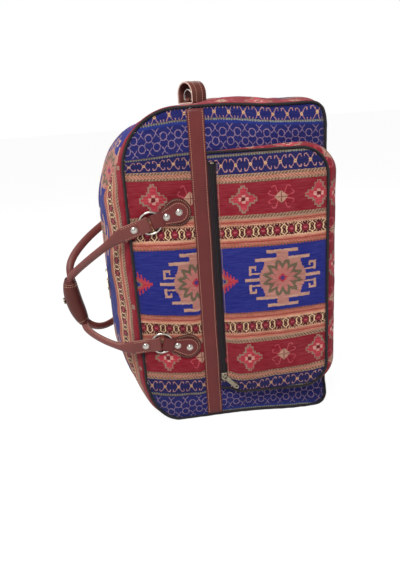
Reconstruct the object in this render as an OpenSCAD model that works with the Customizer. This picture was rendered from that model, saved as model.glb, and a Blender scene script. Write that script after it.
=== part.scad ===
// Soft travel bag of woven cloth with leather trim, standing upright on one end.
// The length of the bag runs up Z. Its carrying side faces -X, its base +X and its front -Y.

/* [Body] */
// Length of the bag, which stands upright
body_length = 533; // [490:1:590]
// Height from the base to the top seam
body_height = 324; // [300:2:370]
// Depth of the main compartment
body_depth = 200; // [170:2:240]
// Corner radius on the carrying side
top_corner_r = 92; // [75:1:105]
// Corner radius on the base side
base_corner_r = 42; // [30:1:60]
// Rise of the zipped top above its seams
top_dome = 45; // [30:1:55]
// Thickness of the padded front and back panels
panel_t = 4; // [3:0.5:6]
// Thickness of the gusset cloth with its backing
wall_t = 3; // [2:0.5:4]
// Thickness of the stiffener board in the base
board_t = 2.5; // [1.5:0.5:4]
// Diameter of the corded piping on the body seams
piping_d = 6; // [4:0.5:8]

/* [Leather band] */
// Width of the leather bands along the front and back
band_w = 26; // [18:1:32]
// Thickness of the leather bands
band_t = 2; // [1.5:0.25:2.5]
// Distance of the bands from the top seam
band_from_top = 106; // [102:1:118]

/* [Front pocket] */
// Length of the pocket along the bag
pocket_length = 410; // [320:2:420]
// Distance of the pocket from the base side of the front
pocket_margin = 11; // [8:1:30]
// Depth of the pocket at its base side
pocket_depth = 44; // [32:1:56]
// Depth of the pocket beside the band
pocket_lip = 6.5; // [6:0.5:9]
// Corner radius of the pocket
pocket_corner_r = 45; // [30:1:60]
// Thickness of the pocket cloth with its backing
pocket_t = 3; // [2.5:0.5:4]
// Diameter of the corded piping on the pocket
pocket_piping_d = 5; // [4:0.5:6]

/* [Zips] */
// Width of the slot that shows a zip
zip_slot = 13; // [12:0.5:16]
// Distance of the pocket zip from each end of the pocket
zip_inset = 17; // [14:1:40]
// Width of each half of the tape behind the cloth edge
tape_lap = 4; // [3:0.5:6]
// Thickness of the zip tape
tape_t = 1; // [0.8:0.1:1.4]
// Width of one row of the zip coil
coil_w = 2.2; // [1.6:0.1:2.6]
// Height of the zip coil above its tape
coil_h = 1.8; // [1.4:0.1:2.2]
// Length of a zip slider
slider_l = 12; // [11:0.5:16]
// Width of a zip slider
slider_w = 9.5; // [9:0.5:10]
// Length of the pocket zip pull
pocket_pull_l = 32; // [26:1:40]
// Length of the two main zip pulls
main_pull_l = 36; // [30:1:42]
// Width of a zip pull
pull_w = 8; // [8:0.5:10]

/* [Handles] */
// Outer diameter of the handle rings
ring_d = 38; // [35:0.5:42]
// Wire diameter of the handle rings
ring_wire = 3.5; // [3:0.25:4]
// Depth of the worn flats on the wire of the handle rings
ring_flat = 0.06; // [0.04:0.01:0.12]
// Distance between the upper and the lower ring
ring_spread = 206; // [180:2:230]
// Thickness of one leaf of strap leather
leaf_t = 1.6; // [1.4:0.1:1.8]
// Width of the straps where they hold a ring
strap_w = 21; // [18:0.5:23]
// Radius of the wide head of a tab
tab_head_r = 17; // [14:0.5:18]
// Radius of the wide head of the patch under a tab
patch_head_r = 22; // [20:0.5:24]
// Distance from a ring centre to the tip of its tab
tab_reach = 64; // [60:1:68]
// Slant of the tabs
tab_tilt = 16; // [8:1:20]
// Slant of the upper handle ends
upper_end_tilt = 18; // [8:1:22]
// Diameter of the rivet heads
rivet_d = 11; // [9:0.5:12]
// Diameter of the rolled handle
handle_d = 13; // [11:0.5:15]
// Distance of the grip from the dome of the top
handle_rise = 65; // [58:1:80]
// How far the grip hangs below the middle of the rings
grip_drop = 47; // [30:1:52]
// Length of the grip inside its wrap
grip_length = 84; // [76:1:96]
// Thickness of the wrap round both handles
wrap_t = 1.6; // [1.2:0.1:2]

/* [End loop] */
// Width of the leather loop on the upper end
loop_w = 29; // [22:1:32]
// Span of the loop
loop_span = 41; // [38:1:48]
// Height of the loop
loop_h = 35; // [34:1:46]
// Thickness of the loop leather
loop_t = 3; // [2:0.25:3.5]
// Turn of the loop about the upright axis
loop_turn = 30; // [20:1:50]
// Distance of the loop from the top seam
loop_from_top = 128; // [110:1:150]
// Width of the ring inside the loop
end_ring_w = 24; // [22:0.5:26]
// Height of the ring inside the loop
end_ring_h = 19; // [17:0.5:20]
// Wire diameter of the ring inside the loop
end_ring_wire = 3; // [2.5:0.25:3]

/* [Hidden] */
$fn = 48;

// Clearances between pieces that are sewn together, and between pieces that move
seam_gap = 0.2;
run_gap = 0.3;
overrun = 1;

cloth_red = [0.55, 0.16, 0.2];
cloth_blue = [0.16, 0.17, 0.55];
cord_black = [0.16, 0.15, 0.16];
leather_brown = [0.44, 0.21, 0.19];
nickel = [0.75, 0.74, 0.72];
old_brass = [0.5, 0.46, 0.4];

x_top = -body_height / 2;
x_base = body_height / 2;
y_front = -body_depth / 2;
x_join = x_top + top_corner_r;
x_peak = x_top - top_dome;
top_low = [x_join, top_corner_r];
top_high = [x_join, body_length - top_corner_r];
base_low = [x_base - base_corner_r, base_corner_r];
base_high = [x_base - base_corner_r, body_length - base_corner_r];

// The piping bead stands a little proud of the panel, and the gusset starts behind it
piping_inset = piping_d / 2 + run_gap;
piping_y = y_front + piping_d / 6;
panel_inset = piping_inset + piping_d / 2 + seam_gap;
gusset_y = piping_y + piping_d / 2 + seam_gap;

band_x = x_top + band_from_top;
band_end = panel_inset + seam_gap;
middle_drop = 7.5;
middle_z = body_length / 2 - middle_drop;
pocket_rise = 1;
pocket_z = middle_z + pocket_rise;

// Pocket: a plate that leans forward from the band to the base side
pocket_x = band_x + band_w + seam_gap;
pocket_run = x_base - pocket_margin - pocket_x;
pocket_lean = atan((pocket_depth - pocket_lip) / pocket_run);
pocket_w = pocket_run / cos(pocket_lean);
pocket_half = pocket_length / 2;
pocket_bead_inset = pocket_piping_d / 2 + run_gap;
pocket_bead_y = pocket_t / 2;
plate_inset = pocket_bead_inset + pocket_piping_d / 2 + seam_gap;
pocket_wall_y = max(pocket_bead_y + pocket_piping_d / 2, pocket_t + tape_t + seam_gap) + seam_gap;
pocket_zip_half = pocket_half - zip_inset;

// Zip cross-section, measured outward from the face of the tape
parting = 1.6;
post_t = 1;
plate_low = coil_h + run_gap;
plate_t = 1.4;
plate_high = plate_low + plate_t;
sole_t = 1;
bail_w = 1.4;
bail_post = 0.9;
bail_half = 3;
bar_r = 0.7;
bail_low = 2 * bar_r + 0.7;
bail_t = 1.2;
bar_out = plate_high + bail_low / 2;
pull_t = 1.5;
arm_w = 1;
eye_l = 5.2;
hole_r = 1.7;
stop_l = 3;
stop_h = coil_h + 0.8;
bead_clear_lift = 6;
pocket_pull_turn = 48;
upper_pull_turn = 35;

pocket_tape_y = pocket_t + seam_gap;
pocket_zip_u = zip_slot / 2;
pocket_spine_t = pocket_zip_u - slider_w / 2;
pocket_slider_z = stop_l + slider_l / 2 + 2 * run_gap - pocket_zip_half;
main_tape_depth = wall_t + 0.8;
main_tape_x = x_peak + main_tape_depth;
upper_slider_z = middle_z + 3;
lower_slider_z = upper_slider_z - slider_l - 6;

// Handle ends, rings and tabs lie in one layer in front of a panel
ring_r = (ring_d - ring_wire) / 2;
eye_gap = 0.4;
eye_r = ring_wire / 2 + eye_gap;
eye_out = eye_r + leaf_t;
eye_far = ring_r + 2 * eye_gap;
fold_u = eye_out + 2.5;
leaf_join = ring_r + ring_wire / 2 + 2 * eye_gap + leaf_t;
ring_out = eye_out + 0.45;
leaves_low = ring_out - leaf_t;
leaves_high = ring_out + leaf_t;
patch_low = seam_gap / 2;
patch_t = leaves_low - patch_low - seam_gap / 2;
patch_reach = tab_reach + 4;
ring_x = band_x - patch_reach * cos(tab_tilt) - 4;
tab_waist_w = strap_w / 2;
patch_foot = ring_r + 5;
patch_foot_w = 13;
outer_rivet = tab_reach - tab_head_r + 1;
inner_rivet = leaf_join + rivet_d / 2 + seam_gap;
handle_rivet = inner_rivet + 0.5;
handle_end_l = 46;
lower_end_tilt = -3;
shank_r = 2;
shank_gap = 0.15;
rivet_h = 3;
cap_r = 3.4;
cap_t = 1.2;

// Grip and legs of the handles
grip_x = x_peak - handle_rise;
grip_z = middle_z - grip_drop;
grip_y = handle_d / 2 + 1;
grip_top = [grip_x - 1, -grip_y, grip_z + grip_length / 2];
grip_low = [grip_x + 13, -grip_y, grip_z - grip_length / 2];
// Pulls on the curve of a handle: at its strap ends, at both ends of a leg, and along the grip
leg_lap = 4;
leg_pull = 24;
leg_sag = 6;
// The swings are those of the front handle and, seen from behind, of the back handle
upper_swing = [[9.5, -11, 13.5], [-15, -4.5, 40]];
lower_swing = [[-4, -11, -11], [31, -7.5, -41]];
upper_bow = 3;
lower_bow = 9;
grip_pull = 0.32 * grip_length;
// The legs leave the grip a little way outside its wrap
leg_clear = 4;
leg_top = grip_top + leg_clear * unit([upper_bow, 0, grip_pull]);
leg_low = grip_low + leg_clear * unit([lower_bow, 0, -grip_pull]);
leg_steps = 18;
grip_steps = 10;
handle_sides = 14;
wrap_y = 2 * grip_y + 1;
wrap_x = handle_d + 2;
wrap_steps = 14;
wrap_sides = 24;
snap_r = 6;
snap_h = 2.5;
snap_t = 0.45;

// Loop on the upper end and the ring it guards
loop_x = x_top + loop_from_top;
loop_r = loop_span / 2;
keeper_w = 9;
keeper_t = 1.4;
end_ring_u = -loop_w / 4;
end_ring_z = loop_t + seam_gap + keeper_t + run_gap + end_ring_wire / 2;
end_ring_r = end_ring_w / 2 - end_ring_wire / 2;

// Points and faces of the lofted pieces
corner_steps = 14;
straight_steps = 5;
cross_steps = 9;
// Angles round a corner of the carrying side at which the dome, the zip slot and the zip start
dome_from = 28;
slot_from = 40;
slot_full = 56;
tape_from = 43;
coil_from = 52;
// Distance past the corner at which the dome has its full rise
dome_past = 60;

function blend(a, b, t) = a + (b - a) * t;
function ease(t) = t <= 0 ? 0 : t >= 1 ? 1 : t * t * (3 - 2 * t);
function unit(v) = v / norm(v);
function split(f) = [[f[0], f[1], f[2]], [f[0], f[2], f[3]]];
function bezier(a, b, c, d, t) = pow(1 - t, 3) * a + 3 * t * pow(1 - t, 2) * b
    + 3 * t * t * (1 - t) * c + pow(t, 3) * d;

// A path with its bends eased, and its two ends kept
function softened(path) = [for (i = [0 : len(path) - 1])
    i == 0 || i == len(path) - 1 ? path[i] : (path[i - 1] + 2 * path[i] + path[i + 1]) / 4];

// Length along the skin of the carrying side, from the start of a corner to an angle round it
function turn_run(turn) = top_corner_r * turn * PI / 180;
function share_of(run, from, to) = ease((run - from) / (to - from));
function dome_share(run) = share_of(run, turn_run(dome_from), turn_run(90) + dome_past);
function dome_at(y) = 1 - pow(y / gusset_y, 2);
function slot_half(run) =
    blend(seam_gap / 2, zip_slot / 2, share_of(run, turn_run(slot_from), turn_run(slot_full)));

// A station on the skin, counted from the upper end (1) or the lower end (-1): centre, angle, length along
function station(end, run) =
    let (turn = min(90, run / turn_run(1)), past = max(0, run - turn_run(90)))
    [[x_join, end > 0 ? top_high[1] - past : top_low[1] + past], 180 - end * (90 - turn), run];
skin_runs = concat(
    [for (i = [0 : corner_steps]) turn_run(90 * i / corner_steps)],
    [for (i = [1 : straight_steps]) turn_run(90) + dome_past * i / straight_steps]);
// Stations from the lower end to the upper one, leaving out what lies before a length along
function stations(from) =
    let (runs = concat(from, [for (r = skin_runs) if (r > from + overrun) r]))
    concat([for (r = runs) station(-1, r)], [for (i = [len(runs) - 1 : -1 : 0]) station(1, runs[i])]);

function skin_point(place, share, y, depth) =
    let (out = top_corner_r + top_dome * dome_share(place[2]) * share - depth)
    [place[0][0] + out * cos(place[1]), y, place[0][1] + out * sin(place[1])];
function skin_row(place, depth) =
    [for (j = [0 : cross_steps])
        let (y = blend(gusset_y, -slot_half(place[2]), j / cross_steps))
        skin_point(place, dome_at(y), y, depth)];
function skin_rows(depth) = [for (place = stations(0)) skin_row(place, depth)];

// Closed slab between an outer and an inner grid of points
function slab_faces(n, m) =
    let (k = n * m)
    [for (f = concat(
        [for (i = [0 : n - 2], j = [0 : m - 2])
            [i * m + j, i * m + j + 1, (i + 1) * m + j + 1, (i + 1) * m + j]],
        [for (i = [0 : n - 2], j = [0 : m - 2])
            [k + i * m + j, k + (i + 1) * m + j, k + (i + 1) * m + j + 1, k + i * m + j + 1]],
        [for (i = [0 : n - 2]) [i * m, (i + 1) * m, k + (i + 1) * m, k + i * m]],
        [for (i = [0 : n - 2])
            [i * m + m - 1, k + i * m + m - 1, k + (i + 1) * m + m - 1, (i + 1) * m + m - 1]],
        [for (j = [0 : m - 2]) [j, k + j, k + j + 1, j + 1]],
        [for (j = [0 : m - 2])
            [(n - 1) * m + j, (n - 1) * m + j + 1, k + (n - 1) * m + j + 1, k + (n - 1) * m + j]]
    )) each split(f)];

// Closed tube round a path, with a flat cap on each end
function tube_faces(n, m) = concat(
    [for (i = [0 : n - 2], j = [0 : m - 1])
        each split([i * m + j, i * m + (j + 1) % m, (i + 1) * m + (j + 1) % m, (i + 1) * m + j])],
    [[for (j = [m - 1 : -1 : 0]) j]],
    [[for (j = [0 : m - 1]) (n - 1) * m + j]]);

// Open sleeve between an outer and an inner tube of points
function sleeve_faces(n, m) =
    let (k = n * m, last = (n - 1) * m)
    [for (f = concat(
        [for (i = [0 : n - 2], j = [0 : m - 1])
            [i * m + j, i * m + (j + 1) % m, (i + 1) * m + (j + 1) % m, (i + 1) * m + j]],
        [for (i = [0 : n - 2], j = [0 : m - 1])
            [k + i * m + j, k + (i + 1) * m + j, k + (i + 1) * m + (j + 1) % m, k + i * m + (j + 1) % m]],
        [for (j = [0 : m - 1]) [j, k + j, k + (j + 1) % m, (j + 1) % m]],
        [for (j = [0 : m - 1])
            [last + j, last + (j + 1) % m, k + last + (j + 1) % m, k + last + j]]
    )) each split(f)];

// One cross-section of a strap, wide across and thin outward
function strap_ring(centre, along, wide, thick, sides) =
    let (t = unit(along),
        outward = unit([0, -1, 0] - t * (t * [0, -1, 0])),
        across = cross(t, outward))
    [for (j = [0 : sides - 1])
        let (a = 360 * j / sides) centre + across * wide * cos(a) + outward * thick * sin(a)];

function ring_z(side) = middle_z + side * ring_spread / 2;
function end_way(side) = side > 0
    ? [-cos(upper_end_tilt), 0, -sin(upper_end_tilt)]
    : [-cos(lower_end_tilt), 0, sin(lower_end_tilt)];
function end_point(side, u) = [ring_x, y_front - ring_out, ring_z(side)] + u * end_way(side);
function tab_point(side, u) = [ring_x + u * cos(tab_tilt), ring_z(side) + side * u * sin(tab_tilt)];

// Path of a handle, the front (0) or the back (1): upper leg, grip, lower leg
leg_start = handle_end_l - leg_lap;
function upper_leg(face, t) = bezier(end_point(1, leg_start), end_point(1, leg_start + leg_pull),
    leg_top + upper_swing[face], leg_top, t);
function grip_line(t) = bezier(grip_top, grip_top + [-upper_bow, 0, -grip_pull],
    grip_low + [-lower_bow, 0, grip_pull], grip_low, t);
function lower_leg(face, t) = bezier(leg_low, leg_low + lower_swing[face],
    end_point(-1, leg_start + leg_pull) - [0, 0, leg_sag], end_point(-1, leg_start), t);
function handle_path(face) = softened(softened(concat(
    [for (i = [0 : leg_steps]) upper_leg(face, i / leg_steps)],
    [for (i = [0 : grip_steps]) grip_line(i / grip_steps)],
    [for (i = [0 : leg_steps]) lower_leg(face, i / leg_steps)])));
handle_n = 2 * leg_steps + grip_steps + 3;
function path_way(path, i) = path[min(i + 1, handle_n - 1)] - path[max(i - 1, 0)];
// Share of the rolled round shape: none at the flat ends, all from a little way along
function rolled(i) = ease(min(i, handle_n - 1 - i) / 7);

// Place a flat shape upright, from one depth backward
module upright(y_from, thickness) {
    translate([0, y_from + thickness, 0])
        rotate([90, 0, 0])
            linear_extrude(thickness)
                children();
}

module back_side() {
    mirror([0, 1, 0])
        children();
}

// Outline of the front and back, drawn in from the edge of the body
module body_outline(inset) {
    polygon([
        [x_top + inset, top_low[1]], [top_low[0], inset],
        [base_low[0], inset], [x_base - inset, base_low[1]],
        [x_base - inset, base_high[1]], [base_high[0], body_length - inset],
        [top_high[0], body_length - inset], [x_top + inset, top_high[1]]]);
    translate(top_low)
        circle(top_corner_r - inset);
    translate(top_high)
        circle(top_corner_r - inset);
    translate(base_low)
        circle(base_corner_r - inset);
    translate(base_high)
        circle(base_corner_r - inset);
}

module rod(from, to, d) {
    way = to - from;
    translate(from)
        rotate([0, acos(way[2] / norm(way)), atan2(way[1], way[0])])
            cylinder(d = d, h = norm(way));
}

// A quarter bend of a cord that lies upright
module bend(centre, y, r, d, from_angle) {
    translate([centre[0], y, centre[1]])
        rotate([90, 0, 0])
            rotate_extrude(angle = 90, start = from_angle)
                translate([r, 0])
                    circle(d = d);
}

module tab_rivet_points(side) {
    for (u = [inner_rivet, outer_rivet])
        translate(tab_point(side, u))
            children();
}

module panel_plate() {
    upright(y_front, panel_t)
        difference() {
            body_outline(panel_inset);
            for (side = [-1, 1])
                tab_rivet_points(side)
                    circle(shank_r + shank_gap);
        }
}

module front_panel() {
    color(cloth_blue)
        panel_plate();
}

module back_panel() {
    color(cloth_blue)
        back_side()
            panel_plate();
}

module base_gusset() {
    color(cloth_red)
        upright(gusset_y, -2 * gusset_y)
            intersection() {
                difference() {
                    body_outline(0);
                    body_outline(wall_t);
                }
                translate([x_join + seam_gap / 2, -overrun])
                    square([body_height, body_length + 2 * overrun]);
            }
}

module top_gusset_half() {
    rows = skin_rows(0);
    polyhedron(
        points = concat([for (r = rows) each r], [for (r = skin_rows(wall_t)) each r]),
        faces = slab_faces(len(rows), cross_steps + 1));
}

module top_gusset_front() {
    color(cloth_red)
        top_gusset_half();
}

module top_gusset_back() {
    color(cloth_red)
        back_side()
            top_gusset_half();
}

module body_cord() {
    top_r = top_corner_r - piping_inset;
    base_r = base_corner_r - piping_inset;
    far = body_length - piping_inset;
    rod([top_low[0], piping_y, piping_inset], [base_low[0], piping_y, piping_inset], piping_d);
    bend(base_low, piping_y, base_r, piping_d, 270);
    rod([x_base - piping_inset, piping_y, base_low[1]],
        [x_base - piping_inset, piping_y, base_high[1]], piping_d);
    bend(base_high, piping_y, base_r, piping_d, 0);
    rod([base_high[0], piping_y, far], [top_high[0], piping_y, far], piping_d);
    bend(top_high, piping_y, top_r, piping_d, 90);
    rod([x_top + piping_inset, piping_y, top_high[1]],
        [x_top + piping_inset, piping_y, top_low[1]], piping_d);
    bend(top_low, piping_y, top_r, piping_d, 180);
}

module front_piping() {
    color(cord_black)
        body_cord();
}

module back_piping() {
    color(cord_black)
        back_side()
            body_cord();
}

module base_board() {
    width = -2 * (gusset_y + 8);
    color(cord_black)
        translate([x_base - wall_t - seam_gap - board_t, -width / 2, base_corner_r])
            cube([board_t, width, body_length - 2 * base_corner_r]);
}

module band_strip() {
    translate([band_x, y_front - band_t - seam_gap / 2, band_end])
        cube([band_w, band_t, body_length - 2 * band_end]);
}

module front_band() {
    color(leather_brown)
        band_strip();
}

module back_band() {
    color(leather_brown)
        back_side()
            band_strip();
}

// Place a piece in the frame of the pocket plate: X to the base side, Y inward, Z from its middle
module pocket_frame() {
    translate([pocket_x, y_front - pocket_lip, pocket_z])
        rotate([0, 0, -pocket_lean])
            children();
}

module pocket_outline(inset, width) {
    r = pocket_corner_r - inset;
    mid_u = width - pocket_corner_r;
    mid_z = pocket_half - pocket_corner_r;
    polygon([[0, -pocket_half + inset], [mid_u, -pocket_half + inset],
        [width - inset, -mid_z], [width - inset, mid_z],
        [mid_u, pocket_half - inset], [0, pocket_half - inset]]);
    for (side = [-1, 1])
        translate([mid_u, side * mid_z])
            circle(r);
}

module pocket_front() {
    color(cloth_blue)
        pocket_frame()
            upright(0, pocket_t)
                difference() {
                    pocket_outline(plate_inset, pocket_w);
                    translate([-overrun, -pocket_zip_half])
                        square([zip_slot + overrun, 2 * pocket_zip_half]);
                }
}

module pocket_gusset() {
    reach = pocket_depth + pocket_piping_d;
    color(cloth_red)
        difference() {
            translate([pocket_x, y_front - reach, pocket_z])
                upright(0, reach - seam_gap)
                    difference() {
                        pocket_outline(0, pocket_run);
                        intersection() {
                            pocket_outline(pocket_t, pocket_run);
                            translate([pocket_spine_t, -pocket_half])
                                square([pocket_run, pocket_length]);
                        }
                    }
            pocket_frame()
                translate([-reach, pocket_wall_y - 2 * reach, -pocket_length])
                    cube([pocket_w + 2 * reach, 2 * reach, 2 * pocket_length]);
        }
}

module pocket_piping() {
    r = pocket_corner_r - pocket_bead_inset;
    mid_u = pocket_w - pocket_corner_r;
    mid_z = pocket_half - pocket_corner_r;
    edge_u = pocket_w - pocket_bead_inset;
    edge_z = pocket_half - pocket_bead_inset;
    color(cord_black)
        pocket_frame() {
            rod([seam_gap, pocket_bead_y, -edge_z], [mid_u, pocket_bead_y, -edge_z], pocket_piping_d);
            bend([mid_u, -mid_z], pocket_bead_y, r, pocket_piping_d, 270);
            rod([edge_u, pocket_bead_y, -mid_z], [edge_u, pocket_bead_y, mid_z], pocket_piping_d);
            bend([mid_u, mid_z], pocket_bead_y, r, pocket_piping_d, 0);
            rod([mid_u, pocket_bead_y, edge_z], [seam_gap, pocket_bead_y, edge_z], pocket_piping_d);
        }
}

// Zip frame: X across the zip, Y inward from the face of the tape, Z along the zip
module pocket_zip_frame() {
    pocket_frame()
        translate([pocket_zip_u, pocket_tape_y, 0])
            children();
}

module main_zip_frame() {
    translate([main_tape_x, 0, 0])
        rotate([0, 0, -90])
            children();
}

// Half of a zip as a strip on one side of the parting line
module zip_strip(side, from_x, to_x, out, thick, low, high) {
    translate([side > 0 ? from_x : -to_x, -out, low])
        cube([to_x - from_x, thick, high - low]);
}

module pocket_zip_tape() {
    reach = zip_slot / 2 - seam_gap;
    color(cord_black)
        pocket_zip_frame() {
            zip_strip(1, parting / 2, zip_slot / 2 + tape_lap, 0, tape_t, -pocket_zip_half, pocket_zip_half);
            zip_strip(-1, parting / 2, reach, 0, tape_t, -pocket_zip_half, pocket_zip_half);
        }
}

module pocket_zip_coil() {
    color(cord_black)
        pocket_zip_frame()
            for (side = [-1, 1])
                zip_strip(side, parting / 2, parting / 2 + coil_w, coil_h + seam_gap / 2, coil_h,
                    -pocket_zip_half + stop_l + seam_gap, pocket_zip_half - stop_l - seam_gap);
}

// Metal clip that ends a zip
module zip_stop(low) {
    translate([-parting / 2 - coil_w, -stop_h - seam_gap / 2, low])
        cube([parting + 2 * coil_w, stop_h, stop_l]);
}

module pocket_zip_stops() {
    color(old_brass)
        pocket_zip_frame() {
            zip_stop(-pocket_zip_half);
            zip_stop(pocket_zip_half - stop_l);
        }
}

// Strip of the main zip that follows the ridge of the dome, out from the face of its tape
module ridge_strip(y_from, y_to, out, thick, places) {
    low = main_tape_depth - out;
    high = low + thick;
    polyhedron(
        points = [for (place = places)
            each [skin_point(place, 1, y_from, low), skin_point(place, 1, y_to, low),
                skin_point(place, 1, y_to, high), skin_point(place, 1, y_from, high)]],
        faces = tube_faces(len(places), 4));
}

module ridge_strips(y_near, y_far, out, thick, from) {
    ridge_strip(y_near, y_far, out, thick, stations(from));
    ridge_strip(-y_far, -y_near, out, thick, stations(from));
}

module main_zip_tape() {
    color(cord_black)
        ridge_strips(parting / 2, zip_slot / 2 + tape_lap, 0, tape_t, turn_run(tape_from));
}

module main_zip_coil() {
    color(cord_black)
        ridge_strips(parting / 2, parting / 2 + coil_w, coil_h + seam_gap / 2, coil_h,
            turn_run(coil_from) + stop_l + seam_gap);
}

module main_zip_stops() {
    from = turn_run(coil_from);
    half = parting / 2 + coil_w;
    out = stop_h + seam_gap / 2;
    color(old_brass) {
        ridge_strip(-half, half, out, stop_h, [station(-1, from), station(-1, from + stop_l)]);
        ridge_strip(-half, half, out, stop_h, [station(1, from + stop_l), station(1, from)]);
    }
}

// Slider: a plate over the coil, a sole behind the tape, a post between them and a bail on top
module zip_slider() {
    translate([-slider_w / 2, -plate_high, -slider_l / 2])
        cube([slider_w, plate_t, slider_l]);
    translate([-slider_w / 2, tape_t + run_gap, -slider_l / 2])
        cube([slider_w, sole_t, slider_l]);
    translate([-post_t / 2, -plate_low - plate_t / 2, -slider_l / 2])
        cube([post_t, plate_low + plate_t / 2 + tape_t + run_gap + sole_t / 2, slider_l]);
    for (end = [-bail_half, bail_half - bail_post])
        translate([-bail_w / 2, -plate_high - bail_low - bail_t, end])
            cube([bail_w, bail_low + bail_t + plate_t / 2, bail_post]);
    translate([-bail_w / 2, -plate_high - bail_low - bail_t, -bail_half])
        cube([bail_w, bail_t, 2 * bail_half]);
}

// Pull: a bar that turns under the bail, two arms and a blade with a hole
module zip_pull(length) {
    blade = length - eye_l - pull_w / 2;
    translate([-pull_w / 2, 0, 0])
        rotate([0, 90, 0])
            cylinder(r = bar_r, h = pull_w);
    for (x = [-pull_w / 2, pull_w / 2 - arm_w])
        translate([x, -pull_t / 2, -eye_l - overrun])
            cube([arm_w, pull_t, eye_l + overrun]);
    translate([0, pull_t / 2, -eye_l])
        rotate([90, 0, 0])
            linear_extrude(pull_t)
                difference() {
                    union() {
                        translate([-pull_w / 2, -blade])
                            square([pull_w, blade]);
                        translate([0, -blade])
                            circle(d = pull_w);
                    }
                    translate([0, -blade])
                        circle(hole_r);
                }
}

module pocket_slider() {
    color(old_brass)
        pocket_zip_frame()
            translate([0, 0, pocket_slider_z])
                zip_slider();
}

module pocket_pull() {
    color(old_brass)
        pocket_zip_frame()
            translate([0, -bar_out, pocket_slider_z])
                rotate([0, -pocket_pull_turn, 0])
                    rotate([-bead_clear_lift, 0, 0])
                        zip_pull(pocket_pull_l);
}

module upper_main_slider() {
    color(old_brass)
        main_zip_frame()
            translate([0, 0, upper_slider_z])
                zip_slider();
}

module lower_main_slider() {
    color(old_brass)
        main_zip_frame()
            translate([0, 0, lower_slider_z])
                zip_slider();
}

module upper_main_pull() {
    color(old_brass)
        main_zip_frame()
            translate([0, -bar_out, upper_slider_z])
                rotate([0, -upper_pull_turn, 0])
                    zip_pull(main_pull_l);
}

module lower_main_pull() {
    color(old_brass)
        main_zip_frame()
            translate([0, -bar_out, lower_slider_z])
                zip_pull(main_pull_l);
}

// Teardrop with its wide head away from the ring
module teardrop(foot, foot_w, head_r, reach) {
    head = reach - head_r;
    polygon([[foot, -foot_w], [head, -head_r], [head, head_r], [foot, foot_w]]);
    translate([head, 0])
        circle(head_r);
}

// Frame of a tab: X from the ring centre to the tip, Y inward, Z across
module tab_frame(side) {
    translate([ring_x, y_front, ring_z(side)])
        rotate([0, -side * tab_tilt, 0])
            children();
}

module patch_piece(side) {
    tab_frame(side)
        upright(-patch_low - patch_t, patch_t)
            difference() {
                teardrop(patch_foot, patch_foot_w, patch_head_r, patch_reach);
                for (u = [inner_rivet, outer_rivet])
                    translate([u, 0])
                        circle(shank_r + shank_gap);
            }
}

// Side view of a strap folded round the wire of a ring
module folded_strap(reach) {
    difference() {
        union() {
            translate([fold_u, 0])
                circle(eye_out);
            polygon([[fold_u, -eye_out], [eye_far, -eye_out], [leaf_join, -leaf_t],
                [reach, -leaf_t], [reach, leaf_t], [leaf_join, leaf_t],
                [eye_far, eye_out], [fold_u, eye_out]]);
        }
        translate([fold_u, 0])
            circle(eye_r);
        polygon([[fold_u, -eye_r], [eye_far, -eye_r], [leaf_join - 1, 0],
            [eye_far, eye_r], [fold_u, eye_r]]);
    }
}

// The same strap as a solid, as wide as asked
module strap_solid(reach, width) {
    translate([0, 0, -width / 2])
        linear_extrude(width)
            folded_strap(reach);
}

module tab_piece(side) {
    start = fold_u - eye_out - overrun;
    tab_frame(side)
        translate([0, -ring_out, 0])
            intersection() {
                strap_solid(tab_reach + overrun, 3 * tab_head_r);
                upright(-2 * eye_out, 4 * eye_out)
                    difference() {
                        union() {
                            teardrop(leaf_join, tab_waist_w, tab_head_r, tab_reach);
                            translate([start, -tab_waist_w])
                                square([leaf_join - start, 2 * tab_waist_w]);
                        }
                        for (u = [inner_rivet, outer_rivet])
                            translate([u, 0])
                                circle(shank_r + shank_gap);
                    }
            }
}

module front_upper_patch() {
    color(leather_brown)
        patch_piece(1);
}

module front_lower_patch() {
    color(leather_brown)
        patch_piece(-1);
}

module back_upper_patch() {
    color(leather_brown)
        back_side()
            patch_piece(1);
}

module back_lower_patch() {
    color(leather_brown)
        back_side()
            patch_piece(-1);
}

module front_upper_tab() {
    color(leather_brown)
        tab_piece(1);
}

module front_lower_tab() {
    color(leather_brown)
        tab_piece(-1);
}

module back_upper_tab() {
    color(leather_brown)
        back_side()
            tab_piece(1);
}

module back_lower_tab() {
    color(leather_brown)
        back_side()
            tab_piece(-1);
}

module handle_ring(side) {
    translate([ring_x, y_front - ring_out, ring_z(side)])
        rotate([90, 0, 0])
            rotate_extrude()
                translate([ring_r, 0])
                    intersection() {
                        circle(d = ring_wire);
                        square(ring_wire - 2 * ring_flat, center = true);
                    }
}

module front_upper_ring() {
    color(nickel)
        handle_ring(1);
}

module front_lower_ring() {
    color(nickel)
        handle_ring(-1);
}

module back_upper_ring() {
    color(nickel)
        back_side()
            handle_ring(1);
}

module back_lower_ring() {
    color(nickel)
        back_side()
            handle_ring(-1);
}

// Rivet along Y: a domed head outside, a shank and a flat cap at the depth asked
module rivet(depth) {
    dome_r = (pow(rivet_d / 2, 2) + pow(rivet_h, 2)) / (2 * rivet_h);
    rotate([90, 0, 0]) {
        translate([0, 0, seam_gap / 2])
            intersection() {
                translate([0, 0, rivet_h - dome_r])
                    sphere(dome_r);
                cylinder(r = dome_r, h = rivet_h);
            }
        translate([0, 0, -depth - cap_t / 2])
            cylinder(r = shank_r, h = depth + cap_t / 2 + seam_gap);
        translate([0, 0, -depth - cap_t - seam_gap / 2])
            cylinder(r = cap_r, h = cap_t);
    }
}

module tab_rivets() {
    for (side = [-1, 1])
        tab_frame(side)
            for (u = [inner_rivet, outer_rivet])
                translate([u, -leaves_high, 0])
                    rivet(leaves_high + panel_t);
}

module front_tab_rivets() {
    color(nickel)
        tab_rivets();
}

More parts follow.
